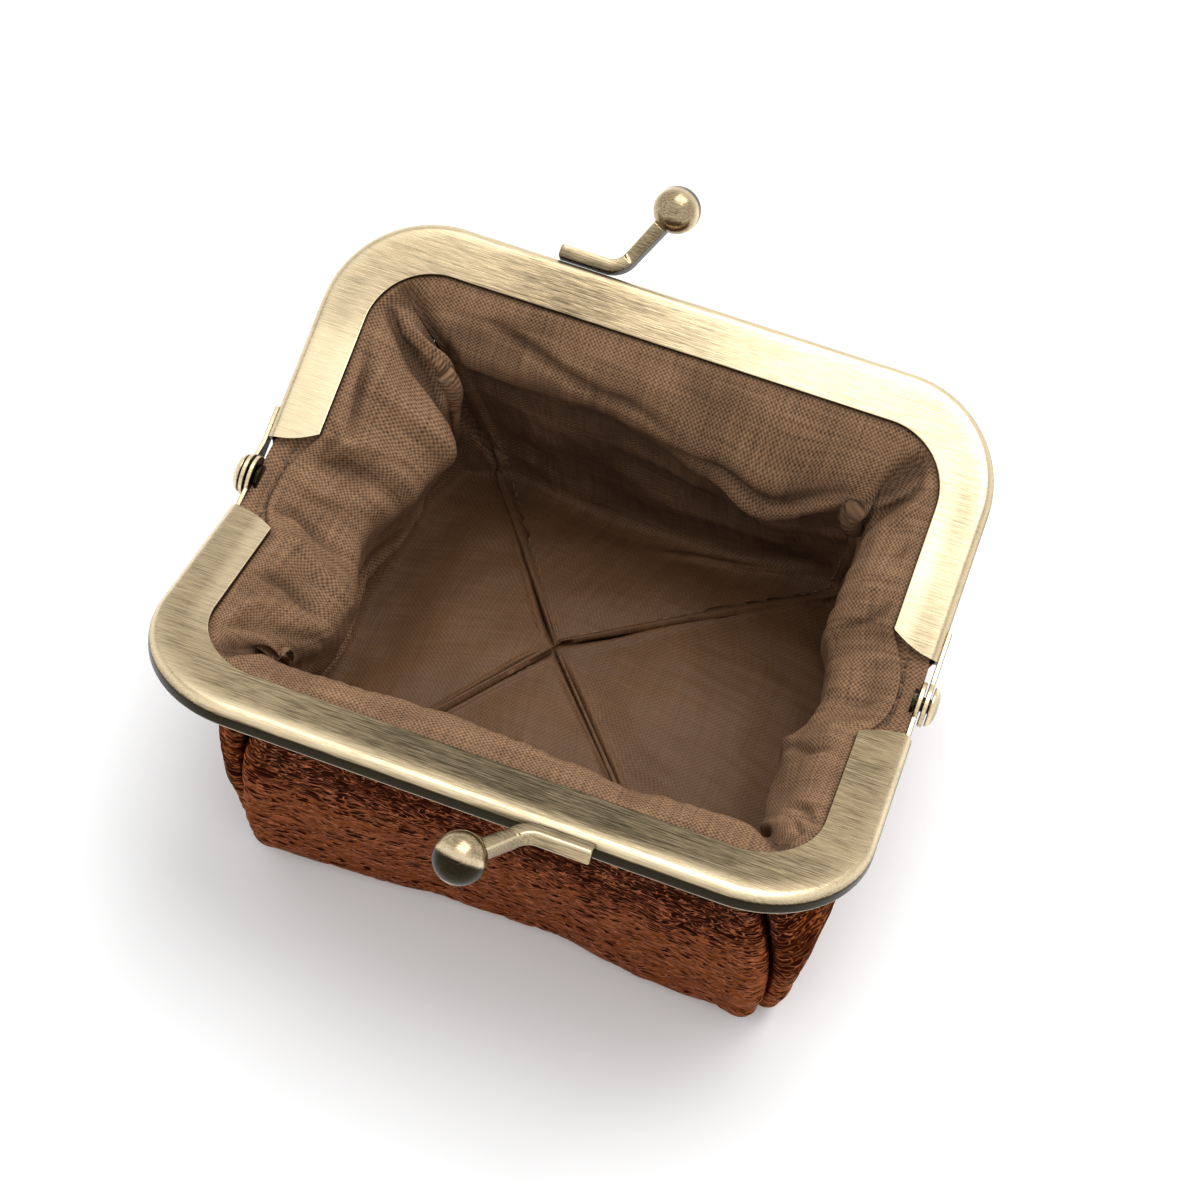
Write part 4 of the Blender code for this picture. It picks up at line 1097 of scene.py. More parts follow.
def cut_off(mesh, point, normal, keep_outer, kept_in):
    """Puts into kept_in what lies on one side of a plane, the side that its normal points to or the other."""
    work = bmesh.new()
    work.from_mesh(mesh)
    bmesh.ops.bisect_plane(
        work, geom=[*work.verts, *work.edges, *work.faces], dist=1e-7, plane_co=point, plane_no=normal,
        clear_inner=keep_outer, clear_outer=not keep_outer)
    work.to_mesh(kept_in)
    work.free()
    return kept_in


def cut_part(mesh, name, side, above):
    """A copy of a mesh with what lies above the cut between wall and fold, or below it."""
    normal = np.array(flipped(CUT_NORMAL, side)) * (1.0 if CUT_NORMAL[2] > 0 else -1.0)
    return cut_off(mesh, flipped(BASE_POINT, side), normal, above, bpy.data.meshes.new(name))


def half_of_gusset(mesh, side):
    """What lies in front of the hinge axis, or behind it."""
    return cut_off(mesh, (0.0, 0.0, 0.0), (0.0, 1.0, 0.0), side == "rear", mesh)


def hang(mesh, stem, side, node, material, extra_nodes=()):
    """Cuts one half of a panel into its wall and its fold, each an object of its own, and hides the packed
    pieces that they replace.
    """
    made = []
    for part, above, (start, end) in (("wall", True, WALL_BLEND), ("fold", False, FOLD_BLEND)):
        name = f"{stem}_{part}"
        piece = finish_object(cut_part(mesh, name, side, above), name, material)
        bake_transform(piece)
        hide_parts(node, *extra_nodes)
        made.append(piece)
    bpy.data.meshes.remove(mesh)
    return made


# Leather.


# How the leather swells below the frame, in millimetres, at each turn: how far outwards and down from the
# mouth it heads first, how far outside the foot it hangs, and how high above the foot it does.
SWELL_TABLE = (
    (0.00, 5.4, 5.0, 0.6, 18.0),
    (0.38, 6.0, 4.5, 1.4, 20.0),
    (0.62, 7.6, 4.5, 3.2, 19.0),
    (0.86, 8.0, 4.5, 4.2, 19.0),
    (1.00, 1.6, 9.0, 3.4, 19.0),
    (1.14, 7.0, 4.5, 3.8, 19.0),
    (1.38, 6.0, 4.5, 2.6, 19.0),
    (2.00, 5.4, 4.5, 2.0, 20.0),
    (2.62, 5.0, 4.5, 2.6, 20.0),
    (2.86, 4.6, 4.5, 3.0, 20.0),
    (3.00, 1.6, 9.0, 3.0, 20.0),
    (3.14, 4.6, 4.5, 3.0, 20.0),
    (3.38, 4.0, 4.5, 1.6, 20.0),
    (3.62, 4.8, 4.5, 1.2, 20.0),
)


# Rows of the leather's mesh inside the channel, round the edge of the base and on the base.
CHANNEL_ROWS = 7
EDGE_ROWS = 16
FLOOR_ROWS = 11


def leather_surface(turn, leather):
    """The smooth outside of the leather, as a grid of points: channel, wall, rounded edge and base.

    The wall is a cubic curve from the mouth, where it swells out under the frame, to the foot, where it
    stands upright. The edge of the base is a quarter circle, and the base runs flat to its middle. On the
    hem the leather turns down at once, outside the lining.
    """
    edge, mouth, foot, outward = column_places(turn, -2.7 * MM, LEATHER_SEAMS)
    from_hinge = np.abs(np.mod(turn, 2.0) - 1.0)
    on_hem = 1 - smoothly(0.0, 0.11, from_hinge)[:, None]
    mouth = mouth * (1 - on_hem) + (edge + unit(mouth - edge) * 0.5 * MM) * on_hem
    behind_ear = smoothly(0.055, 0.075, from_hinge) * (1 - smoothly(0.105, 0.125, from_hinge))
    behind_ear = behind_ear * (edge[:, 1] > 0)
    edge = edge + (0.8 * MM * behind_ear * np.sign(edge[:, 0]))[:, None] * np.array((1.0, 0.0, 0.0))
    swell = around(np.mod(turn, 4.0), SWELL_TABLE) * MM
    outward = np.concatenate([outward, np.zeros((len(turn), 1))], axis=1)
    up = np.array((0.0, 0.0, 1.0))
    wall_foot = np.concatenate([foot, np.full((len(turn), 1), BASE_ROUND)], axis=1)
    below_mouth = mouth + outward * swell[:, [0]] - up * swell[:, [1]]
    above_foot = wall_foot + outward * swell[:, [2]] + up * swell[:, [3]]
    channel = edge[None] + (mouth - edge)[None] * np.linspace(0.0, 1.0, CHANNEL_ROWS + 1)[:-1, None, None]
    gone = np.linspace(0.0, 1.0, leather.rows)[:, None, None]
    left = 1 - gone
    wall = left**3 * mouth + 3 * left**2 * gone * below_mouth
    wall = wall + 3 * left * gone**2 * above_foot + gone**3 * wall_foot
    angle = np.linspace(0.0, math.pi / 2, EDGE_ROWS + 1)[1:, None, None]
    centre = wall_foot - outward * BASE_ROUND
    bottom = centre + outward * BASE_ROUND * np.cos(angle) + np.array((0.0, 0.0, -BASE_ROUND)) * np.sin(angle)
    middle = np.array((BASE_SHIFT, 0.0, 0.0))
    floor = bottom[-1] + (middle - bottom[-1]) * np.linspace(0.0, 1.0, FLOOR_ROWS + 1)[1:, None, None]
    return np.concatenate([channel, wall, bottom, floor])


# How far apart the flat panels lie on their sheet, in millimetres for each step of the seed, so that no two
# panels show the same grain.
SHEET_SHIFT = 40


def cloth_places(points):
    """The place of each point on the flat panel in millimetres: sideways from its middle column, and down."""
    middle = points.shape[1] // 2
    across = lengths_along(points, 1)
    sideways = across - across[:, [middle]]
    down = np.broadcast_to(lengths_along(points, 0)[:, [middle]], sideways.shape)
    return sideways / MM, down / MM


def seam_shape(distance, roll):
    """Depth beside a seam: two quarter circles that meet at the seam, and a slight swelling beyond them."""
    near = np.clip(distance, 0.0, roll)
    groove = roll - np.sqrt(np.maximum(roll**2 - (roll - near) ** 2, 0.0))
    swelling = 0.55 * MM * np.exp(-(((distance - 1.5 * roll) / (1.3 * roll)) ** 2))
    return groove, swelling


def leather_panel(name, start, end, leather, seed):
    """One panel of the leather between two turns, creased and crackled, as a closed mesh.

    Depth is the seam rolls, plus broad dents and creases. A crease is a narrow valley where a stretched
    noise passes through zero, and lies across the panel.
    """
    turn = np.linspace(start, end, leather.columns)
    base = leather_surface(turn, leather)
    rows = base.shape[0]
    away = base - np.array((BASE_SHIFT, 0.0, 15.0 * MM))
    normals = surface_normals(base, away)
    across = lengths_along(base, 1)
    total = across[:, -1:]
    across_mm, down_mm = cloth_places(base)
    row = np.arange(rows)[:, None]
    wall_start, wall_end = CHANNEL_ROWS, CHANNEL_ROWS + leather.rows
    below_mouth = smoothly(wall_start, wall_start + leather.rows * 0.22, row)
    above_base = 1 - smoothly(wall_end + 6, wall_end + 16, row)
    free = below_mouth * above_base
    groove, swelling = seam_shape(np.minimum(across, total - across), leather.seam_roll)
    height = (swelling - groove) * free
    stretch_u = across_mm + 1.6 * noise(across_mm / 7, down_mm / 7, seed)
    stretch_v = down_mm + 0.9 * noise(across_mm / 6, down_mm / 6, seed + 1)
    dents = noise(across_mm / 15, down_mm / 11, seed + 2) * 0.50
    dents = dents + noise(across_mm / 7, down_mm / 5, seed + 3) * 0.20
    valleys = np.exp(-((noise(stretch_u / 4.6, stretch_v / 1.7, seed + 4) / 0.20) ** 2))
    ripples = noise(stretch_u / 3.0, stretch_v / 1.15, seed + 5)
    height = height + (dents - 0.16 * valleys + 0.05 * ripples) * MM * free
    near_top = 1 - smoothly(0.0, 16.0, down_mm - down_mm[wall_start])
    gathers = noise(across_mm / 14 + 0.3 * stretch_v / 3, stretch_v / 1.5, seed + 6)
    height = height + gathers * 0.16 * MM * near_top * free
    shown = base + normals * height[..., None]
    sunk = np.maximum(-height, 0.0) + 0.3 * MM
    thin = leather.thickness * (0.5 + 0.5 * smoothly(wall_start, wall_start + 12, row))
    hidden = base - normals * np.maximum(thin, sunk)[..., None]
    skin = np.stack([across_mm + SHEET_SHIFT * seed, down_mm, np.zeros_like(down_mm)], axis=-1)
    # From 19 to 40 mm down the foil grows smoother and more of it shows, and the darker top above is painted
    # shade under the frame.
    rubbed_and_lit = smoothly(19.0, 40.0, down_mm)
    return slab_mesh(name, shown, hidden, {"skin": skin, "rubbed_and_lit": rubbed_and_lit})


# The panels of the pouch, as (panel, sides that it hangs on, turns where it starts and ends).
PANELS = (
    ("front_panel", ("front",), -SEAM_TURN, SEAM_TURN),
    ("right_gusset", ("front", "rear"), SEAM_TURN, 2 - SEAM_TURN),
    ("rear_panel", ("rear",), 2 - SEAM_TURN, 2 + SEAM_TURN),
    ("left_gusset", ("rear", "front"), 2 + SEAM_TURN, 4 - SEAM_TURN),
)


def hung_panels(fabric, make_panel, settings, seeds, material, padding=False):
    """Makes the panels of one fabric and hangs them, a gusset parted at the hinge: all their pieces."""
    pieces = []
    for panel, sides, start, end in PANELS:
        extra_nodes = (f"padding_{panel}",) if padding else ()
        for side in sides:
            stem = f"{fabric}_{panel}" if len(sides) == 1 else f"{fabric}_{panel}_{side}"
            mesh = make_panel(stem, start, end, settings, seeds[panel])
            if len(sides) > 1:
                mesh = half_of_gusset(mesh, side)
            pieces += hang(mesh, stem, side, f"{fabric}_{panel}", material, extra_nodes)
    return pieces


class PURSE_OT_leather(Operator):
    """Make the leather outside of the pouch, panel by panel"""

    bl_idname = "purse.add_leather"
    bl_label = "Leather"

    def execute(self, context):
        leather = context.scene.purse_leather
        material = leather_material("copper_foil_leather", leather)
        seeds = {"front_panel": 11, "right_gusset": 23, "rear_panel": 37, "left_gusset": 51}
        hung_panels("leather", leather_panel, leather, seeds, material)
        return {"FINISHED"}


# Lining.

# The roll of the padded lining at each turn, in millimetres: how far inwards and down from the mouth lie its
# crest, its belly and the place below where it falls back, each as (inwards, down).
ROLL_TABLE = (
    (0.00, 2.8, 0.9, 5.6, 4.4, 4.4, 14.0),
    (0.38, 2.6, 0.9, 5.2, 4.4, 4.0, 14.0),
    (0.50, 2.6, 0.8, 5.4, 4.4, 4.4, 12.0),
    (0.62, 3.2, 0.9, 7.4, 6.0, 6.4, 15.0),
    (0.80, 3.6, 1.0, 8.4, 7.0, 7.6, 17.0),
    (1.00, 4.4, 1.4, 10.0, 6.4, 8.8, 15.0),
    (1.20, 3.6, 1.0, 8.6, 7.0, 7.8, 17.0),
    (1.38, 3.2, 1.2, 8.0, 7.4, 7.4, 17.0),
    (1.50, 4.2, 2.6, 10.0, 9.4, 8.6, 17.0),
    (1.62, 3.8, 3.0, 8.0, 9.5, 6.4, 18.0),
    (1.77, 3.8, 3.8, 10.4, 14.6, 7.4, 22.0),
    (1.88, 3.4, 3.4, 8.6, 12.4, 5.8, 20.0),
    (2.06, 3.2, 3.0, 6.6, 9.2, 4.6, 17.0),
    (2.38, 3.0, 2.8, 6.6, 8.6, 4.6, 16.0),
    (2.50, 3.6, 3.0, 6.6, 8.5, 5.6, 17.0),
    (2.62, 4.6, 2.0, 11.0, 8.6, 9.6, 19.0),
    (2.76, 4.6, 1.6, 15.0, 9.0, 12.4, 19.0),
    (2.90, 4.8, 1.6, 13.4, 8.0, 11.8, 18.0),
    (3.00, 4.8, 1.8, 13.2, 7.4, 12.2, 17.0),
    (3.20, 4.0, 1.6, 12.6, 9.0, 11.6, 19.0),
    (3.38, 3.4, 1.2, 9.4, 7.4, 8.6, 17.0),
    (3.50, 2.8, 1.0, 6.4, 5.6, 5.6, 14.0),
    (3.62, 2.6, 0.9, 5.6, 4.6, 4.6, 14.0),
)
# How far the loose lining has slipped sideways at each turn, in millimetres: (turn, x and y of the roll's
# underside, x and y of the foot). It moves the seams between its panels off the corners of the base.
SLIP_TABLE = (
    (0.00, 0.0, 0.0, 0.0, 0.0),
    (0.50, -1.0, 0.0, -9.0, 0.0),
    (0.80, 0.0, 0.0, 0.0, 0.0),
    (1.20, 0.0, 0.0, 0.0, 0.0),
    (1.50, -1.5, 0.0, -9.0, -0.5),
    (1.85, 0.0, 0.0, -1.5, 0.0),
    (2.10, 0.0, 0.0, 1.0, 0.0),
    (2.50, 6.0, 0.5, 10.0, 0.5),
    (2.72, 1.5, 0.0, 2.0, -1.0),
    (3.00, 0.0, 0.0, 0.0, 0.0),
    (3.50, 0.0, 0.0, -2.0, 1.0),
)
# Where the lining's four seams cross on the floor, and a place inside the pouch that its surface faces.
FLOOR_MIDDLE = np.array((-5.5 * MM, 7.0 * MM, 6.4 * MM))
POUCH_INSIDE = np.array((0.0, 0.0, 30.0 * MM))
HEM_STITCHES_DOWN = 3.1 * MM  # from the edge of the hem


def lining_surface(turn, lining):
    """The inside of the lining as a grid of points, each column one smooth curve through its places.

    The places are two in the channel, the mouth, the crest, belly and underside of the roll, the wall, the
    foot of the wall, and two on the floor on the way to where its seams cross.
    """
    edge, mouth, foot, outward = column_places(turn, -2.0 * MM)
    lifted, mouth_top = (column_places(turn, rise * MM)[1] for rise in (-2.0, -1.15))
    inwards = -np.concatenate([outward, np.zeros((len(turn), 1))], axis=1)
    down = np.array((0.0, 0.0, -1.0))
    roll = around(np.mod(turn, 4.0), ROLL_TABLE) * MM
    slip = around(np.mod(turn, 4.0), SLIP_TABLE) * MM
    flat = np.zeros((len(turn), 1))
    slip_above, slip_below = (np.concatenate([slip[:, i : i + 2], flat], axis=1) for i in (0, 2))
    crest, belly, under = (
        mouth_top + inwards * roll[:, [i]] + down * roll[:, [i + 1]] + slip_above * share
        for i, share in ((0, 0.15), (2, 0.55), (4, 1.0)))
    wall_inset, floor_height = 3.2 * MM, 3.6 * MM
    floor_edge = np.concatenate([foot, flat], axis=1) + inwards * wall_inset + slip_below
    wall_foot = floor_edge + (0.0, 0.0, floor_height + 3.5 * MM)
    wall = under * 0.45 + wall_foot * 0.55 + inwards * -0.6 * MM
    corner = floor_edge + inwards * 3.0 * MM + (0.0, 0.0, floor_height)
    middle = FLOOR_MIDDLE
    near = corner * 0.55 + middle * 0.45 + (0.0, 0.0, 0.4 * MM)
    held = edge * 0.25 + lifted * 0.75
    places = np.stack([edge, held, mouth_top, crest, belly, under, wall, wall_foot, corner, near,
                       np.broadcast_to(middle, corner.shape)])
    return through(places, np.linspace(0.0, 1.0, lining.rows))


# About how many millimetres one turn and the whole way down are, and how much higher than in its table a
# fold is made.
CLOTH_SCALE = np.array((85.0, 110.0))
FOLD_GAIN = 1.25


def fold_height(turn, share, folds):
    """Height of the folds: each runs along a line of (turn, share of the way down), as a rounded ridge.

    The ridge is a bell curve of the distance to the nearest place on the line, in the two coordinates
    scaled to millimetres, and fades towards both ends of the line as the root of a sine.
    """
    scale = CLOTH_SCALE
    place = np.stack([turn, share], axis=-1) * scale
    total = np.zeros(place.shape[:-1])
    for width, height, *line in folds:
        points = np.array(line) * scale
        best = np.full(total.shape, 1e9)
        value = np.zeros(total.shape)
        steps = len(points) - 1
        for piece in range(steps):
            start, way = points[piece], points[piece + 1] - points[piece]
            along = np.clip(((place - start) @ way) / (way @ way), 0.0, 1.0)
            distance = np.linalg.norm(place - start - along[..., None] * way, axis=-1)
            progress = (piece + along) / steps
            fade = np.sin(math.pi * np.clip(progress, 0.04, 0.96)) ** 0.5
            closer = distance < best
            best = np.where(closer, distance, best)
            value = np.where(closer, fade * np.exp(-((distance / width) ** 2)), value)
        total += value * height * FOLD_GAIN * MM
    return total


# Folds and creases of the lining: (width and height in millimetres, then the places on its line), where a
# crease has a negative height.
FOLDS = (
    (1.5, -2.6, (2.53, 0.19), (2.58, 0.27), (2.64, 0.34), (2.68, 0.40), (2.70, 0.46)),
    (2.6, 1.5, (2.50, 0.25), (2.55, 0.34), (2.59, 0.42), (2.60, 0.52)),
    (3.0, 1.6, (2.66, 0.24), (2.74, 0.32), (2.76, 0.40), (2.75, 0.46)),
    (1.4, -1.2, (2.62, 0.20), (2.72, 0.25), (2.84, 0.28)),
    (1.2, 0.7, (2.82, 0.20), (2.88, 0.27), (2.84, 0.36)),
    (1.3, -1.0, (2.86, 0.20), (2.92, 0.28), (2.90, 0.38)),
    (1.5, 0.8, (2.96, 0.22), (2.98, 0.30), (2.95, 0.38)),
    (1.2, -0.9, (3.06, 0.21), (3.03, 0.29), (3.06, 0.37)),
    (1.5, 0.9, (3.14, 0.22), (3.12, 0.30), (3.16, 0.40)),
    (1.2, -0.9, (3.24, 0.22), (3.22, 0.32), (3.26, 0.40)),
    (1.8, -0.8, (3.42, 0.26), (3.38, 0.31), (3.33, 0.37), (3.28, 0.42)),
    (1.8, 0.8, (3.37, 0.24), (3.32, 0.29), (3.28, 0.34)),
    (2.2, 1.4, (2.80, 0.56), (2.95, 0.60), (3.10, 0.64), (3.25, 0.66)),
    (2.0, -1.2, (2.78, 0.62), (2.95, 0.66), (3.10, 0.70), (3.25, 0.71)),
    (1.6, 1.1, (3.44, 0.46), (3.42, 0.56), (3.36, 0.66), (3.26, 0.76)),
    (1.2, -0.9, (3.38, 0.50), (3.35, 0.60), (3.28, 0.70), (3.20, 0.77)),
    (1.5, 0.9, (3.32, 0.50), (3.28, 0.59), (3.20, 0.67), (3.10, 0.72)),
    (1.2, -0.8, (3.47, 0.60), (3.44, 0.70), (3.38, 0.80)),
    (1.8, 1.0, (0.30, 0.70), (0.10, 0.76), (-0.10, 0.82)),
    (1.4, -0.7, (0.20, 0.80), (0.00, 0.84), (-0.20, 0.86)),
    (1.8, 0.8, (0.80, 0.66), (0.90, 0.74), (1.05, 0.80)),
    (1.5, -0.7, (1.20, 0.66), (1.25, 0.74), (1.30, 0.82)),
    (1.8, 0.8, (1.70, 0.72), (1.85, 0.78), (2.00, 0.82)),
    (2.2, -1.6, (1.98, 0.44), (1.90, 0.42), (1.82, 0.41), (1.74, 0.40), (1.66, 0.39)),
    (2.0, 1.0, (1.90, 0.47), (1.82, 0.46), (1.74, 0.45)),
    (1.6, -1.0, (2.30, 0.30), (2.20, 0.34), (2.10, 0.37), (2.00, 0.38)),
    (1.3, -0.9, (1.47, 0.24), (1.42, 0.30), (1.38, 0.36), (1.34, 0.42)),
    (1.2, 0.9, (1.43, 0.22), (1.37, 0.28), (1.32, 0.36)),
    (1.0, -0.7, (1.30, 0.19), (1.28, 0.24), (1.25, 0.30)),
    (1.2, 0.6, (1.24, 0.22), (1.20, 0.30), (1.16, 0.38)),
    (1.0, -0.7, (1.18, 0.20), (1.13, 0.28), (1.10, 0.38)),
    (1.2, 0.6, (1.08, 0.22), (1.06, 0.30), (1.03, 0.38)),
    (1.0, -0.6, (1.00, 0.24), (0.98, 0.31), (0.99, 0.38)),
    (1.1, 0.6, (0.92, 0.22), (0.90, 0.30), (0.93, 0.38)),
    (1.1, -0.8, (0.84, 0.22), (0.82, 0.32), (0.85, 0.40)),
    (1.0, -1.0, (0.60, 0.20), (0.64, 0.26), (0.66, 0.34)),
    (0.9, -0.8, (0.54, 0.20), (0.57, 0.26), (0.60, 0.32)),
)


def lining_panel(name, start, end, lining, seed):
    """One panel of the padded lining between two turns, with its folds and seams, as a closed mesh.

    Height above the smooth surface is the sum of the drawn folds, two soft noises, fine wrinkles down the
    cloth, puckers along the hem's stitches, a bell-shaped groove at each seam with a ridge beside it on the
    floor, and a half sine across the panel that puffs it up on the floor. All of it fades out towards the
    channel but the hem's part, which stays close to its stitches.
    """
    turn = np.linspace(start, end, lining.columns)
    base = lining_surface(turn, lining)
    share = np.linspace(0.0, 1.0, lining.rows)[:, None]
    normals = surface_normals(base, POUCH_INSIDE - base)
    across = lengths_along(base, 1)
    total = across[:, -1:]
    beside = np.minimum(across, total - across)
    across_mm, down_mm = cloth_places(base)
    turns = np.broadcast_to(turn[None, :], down_mm.shape)

    # Folds and wrinkles, below the roll's crest.
    free = smoothly(0.19, 0.30, share)
    height = fold_height(np.mod(turns, 4.0), np.broadcast_to(share, down_mm.shape), FOLDS) * free
    soft = noise(across_mm / 13, down_mm / 10, seed) * 0.7
    soft = soft + noise(across_mm / 6, down_mm / 5, seed + 1) * 0.25
    wrinkles = noise(across_mm / 1.7, down_mm / 8, seed + 2) * 0.20
    wrinkles = wrinkles * smoothly(2.0 * MM, 9.0 * MM, beside)
    height = height + (1.25 * soft + wrinkles) * MM * free * (1 - 0.4 * smoothly(0.75, 0.9, share))

    # The hem at the hinge, drawn in by its stitches.
    on_hem = 1 - smoothly(0.10, 0.14, np.abs(np.mod(turns, 2.0) - 1.0))
    from_stitches = down_mm - HEM_STITCHES_DOWN / MM
    puckers = 0.10 * np.sin(across_mm * math.tau / 1.3 + 2.0 * noise(across_mm / 4, down_mm / 4, seed + 3))
    height = height + on_hem * MM * (
        puckers * np.exp(-((from_stitches / 2.0) ** 2)) - 0.30 * np.exp(-((from_stitches / 0.45) ** 2)))

    # The seams, and the panel between them on the floor.
    on_floor = smoothly(0.5, 0.7, share)
    groove_width = (1.7 - 1.1 * on_floor) * MM
    groove = (1.9 - 1.0 * on_floor) * MM * np.exp(-((beside / groove_width) ** 2))
    groove = groove * smoothly(0.17, 0.26, share)
    ridge = 0.5 * MM * np.exp(-(((beside - 1.4 * MM) / (0.8 * MM)) ** 2)) * on_floor
    petal = np.sin(math.pi * np.clip(across / np.maximum(total, 1e-9), 0.0, 1.0))
    puff = 1.4 * MM * petal * smoothly(0.72, 0.86, share) * (1 - smoothly(0.93, 1.0, share))
    before_middle = 1 - smoothly(0.97, 1.0, share)
    height = height + (ridge - groove) * before_middle + puff
    shown = base + normals * height[..., None]
    hidden = base - normals * (lining.thickness * smoothly(0.1, 0.3, share) + 0.3 * MM)[..., None]

    # What the cloth's material reads. The floor gets painted shade through flat, and the hollow below the
    # rear roll gets painted shadow as one wide crease.
    weave = np.stack([across_mm + SHEET_SHIFT * seed, down_mm, np.zeros_like(down_mm)], axis=-1)
    flat = np.broadcast_to(smoothly(0.60, 0.84, share), down_mm.shape)
    crest = np.clip(height / (1.6 * MM), -1.0, 1.0) * (1 - 0.7 * smoothly(0.84, 0.95, share))
    shadow_below_rear_roll = np.exp(-(((np.mod(turns, 4.0) - 2.0) / 0.42) ** 4))
    shadow_below_rear_roll = shadow_below_rear_roll * smoothly(0.42, 0.50, share) * (1 - smoothly(0.64, 0.78, share))
    crest = np.clip(crest - 0.8 * shadow_below_rear_roll, -1.0, 1.0)
    return slab_mesh(name, shown, hidden, {"weave": weave, "flat": flat, "crest": crest})


class PURSE_OT_lining(Operator):
    """Make the padded lining, panel by panel"""

    bl_idname = "purse.add_lining"
    bl_label = "Lining"

    def execute(self, context):
        lining = context.scene.purse_lining
        material = cloth_material("brown_woven_cloth", lining)
        seeds = {"front_panel": 13, "right_gusset": 29, "rear_panel": 41, "left_gusset": 59}
        pieces = hung_panels("lining", lining_panel, lining, seeds, material, padding=True)
        return {"FINISHED"}


# Stitches.


def stitch_rings(centre, heading, up, length, radius):
    """Rings of one stitch: a short thread that dips at both ends, with a round section."""
    steps = np.linspace(-1.0, 1.0, 7)
    line = centre + heading * (steps * length / 2)[:, None] - up * (radius * 2.2 * steps**4)[:, None]
    size = np.sqrt(np.clip(1 - 0.75 * steps**6, 0.05, 1.0)) * radius
    turn = np.linspace(0.0, math.tau, 6, endpoint=False)
    side = np.cross(heading, up)
    ring = side[None] * np.cos(turn)[:, None] + up[None] * np.sin(turn)[:, None]
    return line[:, None] + ring[None] * size[:, None, None]


def stitches_mesh(name, path, ups, pitch, length, radius):
    """Stitches at an even pitch along a path, each turned to its heading."""
    gone = np.concatenate([[0.0], np.cumsum(np.linalg.norm(np.diff(path, axis=0), axis=1))])
    places = np.arange(pitch / 2, gone[-1], pitch)
    centres = np.stack([np.interp(places, gone, path[:, axis]) for axis in range(3)], axis=-1)
    aheads = np.stack([np.interp(places + 0.1 * MM, gone, path[:, axis]) for axis in range(3)], axis=-1)
    raised = np.stack([np.interp(places, gone, ups[:, axis]) for axis in range(3)], axis=-1)
    meshes = []
    for centre, ahead, up in zip(centres, aheads, raised):
        heading = unit(ahead - centre)
        meshes.append(tube_mesh("stitch", stitch_rings(centre, heading, unit(up), length, radius)))
    return joined(name, meshes)


# The stitches: how far in turns the hem's reach from the hinge, and their lengths and radii.
HEM_TURN = 0.118
HEM_STITCH = (1.9 * MM, 0.16 * MM)
FLOOR_STITCH = (1.4 * MM, 0.15 * MM)
# How far beside the floor's seams their stitches lie, and how high on the ridge there.
BESIDE_SEAM = 1.1 * MM
ABOVE_SEAM = 0.42 * MM


class PURSE_OT_stitches(Operator):
    """Make the row of stitches along the hem at each hinge"""

    bl_idname = "purse.add_stitches"
    bl_label = "Hem stitches"

    def execute(self, context):
        lining, threads = context.scene.purse_lining, context.scene.purse_thread
        thread = thread_material("waxed_thread", threads.hem_dark, threads.hem_light)
        for hand, middle in (("right", 1.0), ("left", 3.0)):
            for side in ("front", "rear"):
                before = (side == "front") == (hand == "right")
                start, end = (middle - HEM_TURN, middle) if before else (middle, middle + HEM_TURN)
                turn = np.linspace(start, end, 40)
                base = lining_surface(turn, lining)
                normals = surface_normals(base, POUCH_INSIDE - base)
                row = (lengths_along(base, 0) < HEM_STITCHES_DOWN).sum(axis=0)
                columns = np.arange(len(turn))
                ups = normals[row, columns]
                path = base[row, columns] + ups * 0.12 * MM
                mesh = stitches_mesh(
                    f"{hand}_hem_stitches_{side}", path, ups, threads.hem_pitch, *HEM_STITCH)
                piece = finish_object(mesh, mesh.name, thread)
                start, end = FOLD_BLEND
                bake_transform(piece)
                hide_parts(f"{hand}_hem_thread")
        return {"FINISHED"}


class PURSE_OT_seams(Operator):
    """Make the rows of stitches beside the seams on the floor of the lining"""

    bl_idname = "purse.add_seams"
    bl_label = "Floor stitches"

    def execute(self, context):
        lining, threads = context.scene.purse_lining, context.scene.purse_thread
        thread = thread_material("golden_thread", threads.floor_dark, threads.floor_light)
        seams = (("front_left", 3.5, 1.0), ("rear_left", 2.5, -1.0), ("rear_right", 1.5, 1.0))
        for place, turn, hand in seams:
            columns = np.array((turn - 0.02, turn, turn + 0.02))
            base = lining_surface(columns, lining)
            normals = surface_normals(base, POUCH_INSIDE - base)[:, 1]
            shown = slice(int(0.62 * lining.rows), int(0.985 * lining.rows))
            path, ups = base[shown, 1], normals[shown]
            sideways = unit(np.cross(np.gradient(path, axis=0), ups))
            path = path + sideways * hand * BESIDE_SEAM + ups * ABOVE_SEAM
            mesh = stitches_mesh(f"{place}_floor_stitches", path, ups, threads.floor_pitch, *FLOOR_STITCH)
            piece = finish_object(mesh, mesh.name, thread)
            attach(piece, "pouch")
        return {"FINISHED"}


# The stage: half the side of the floor, and the place that the lamp shines at.
FLOOR_HALF_SIZE = 6.0
LAMP_AIM = (0.0, 0.0, 0.02)


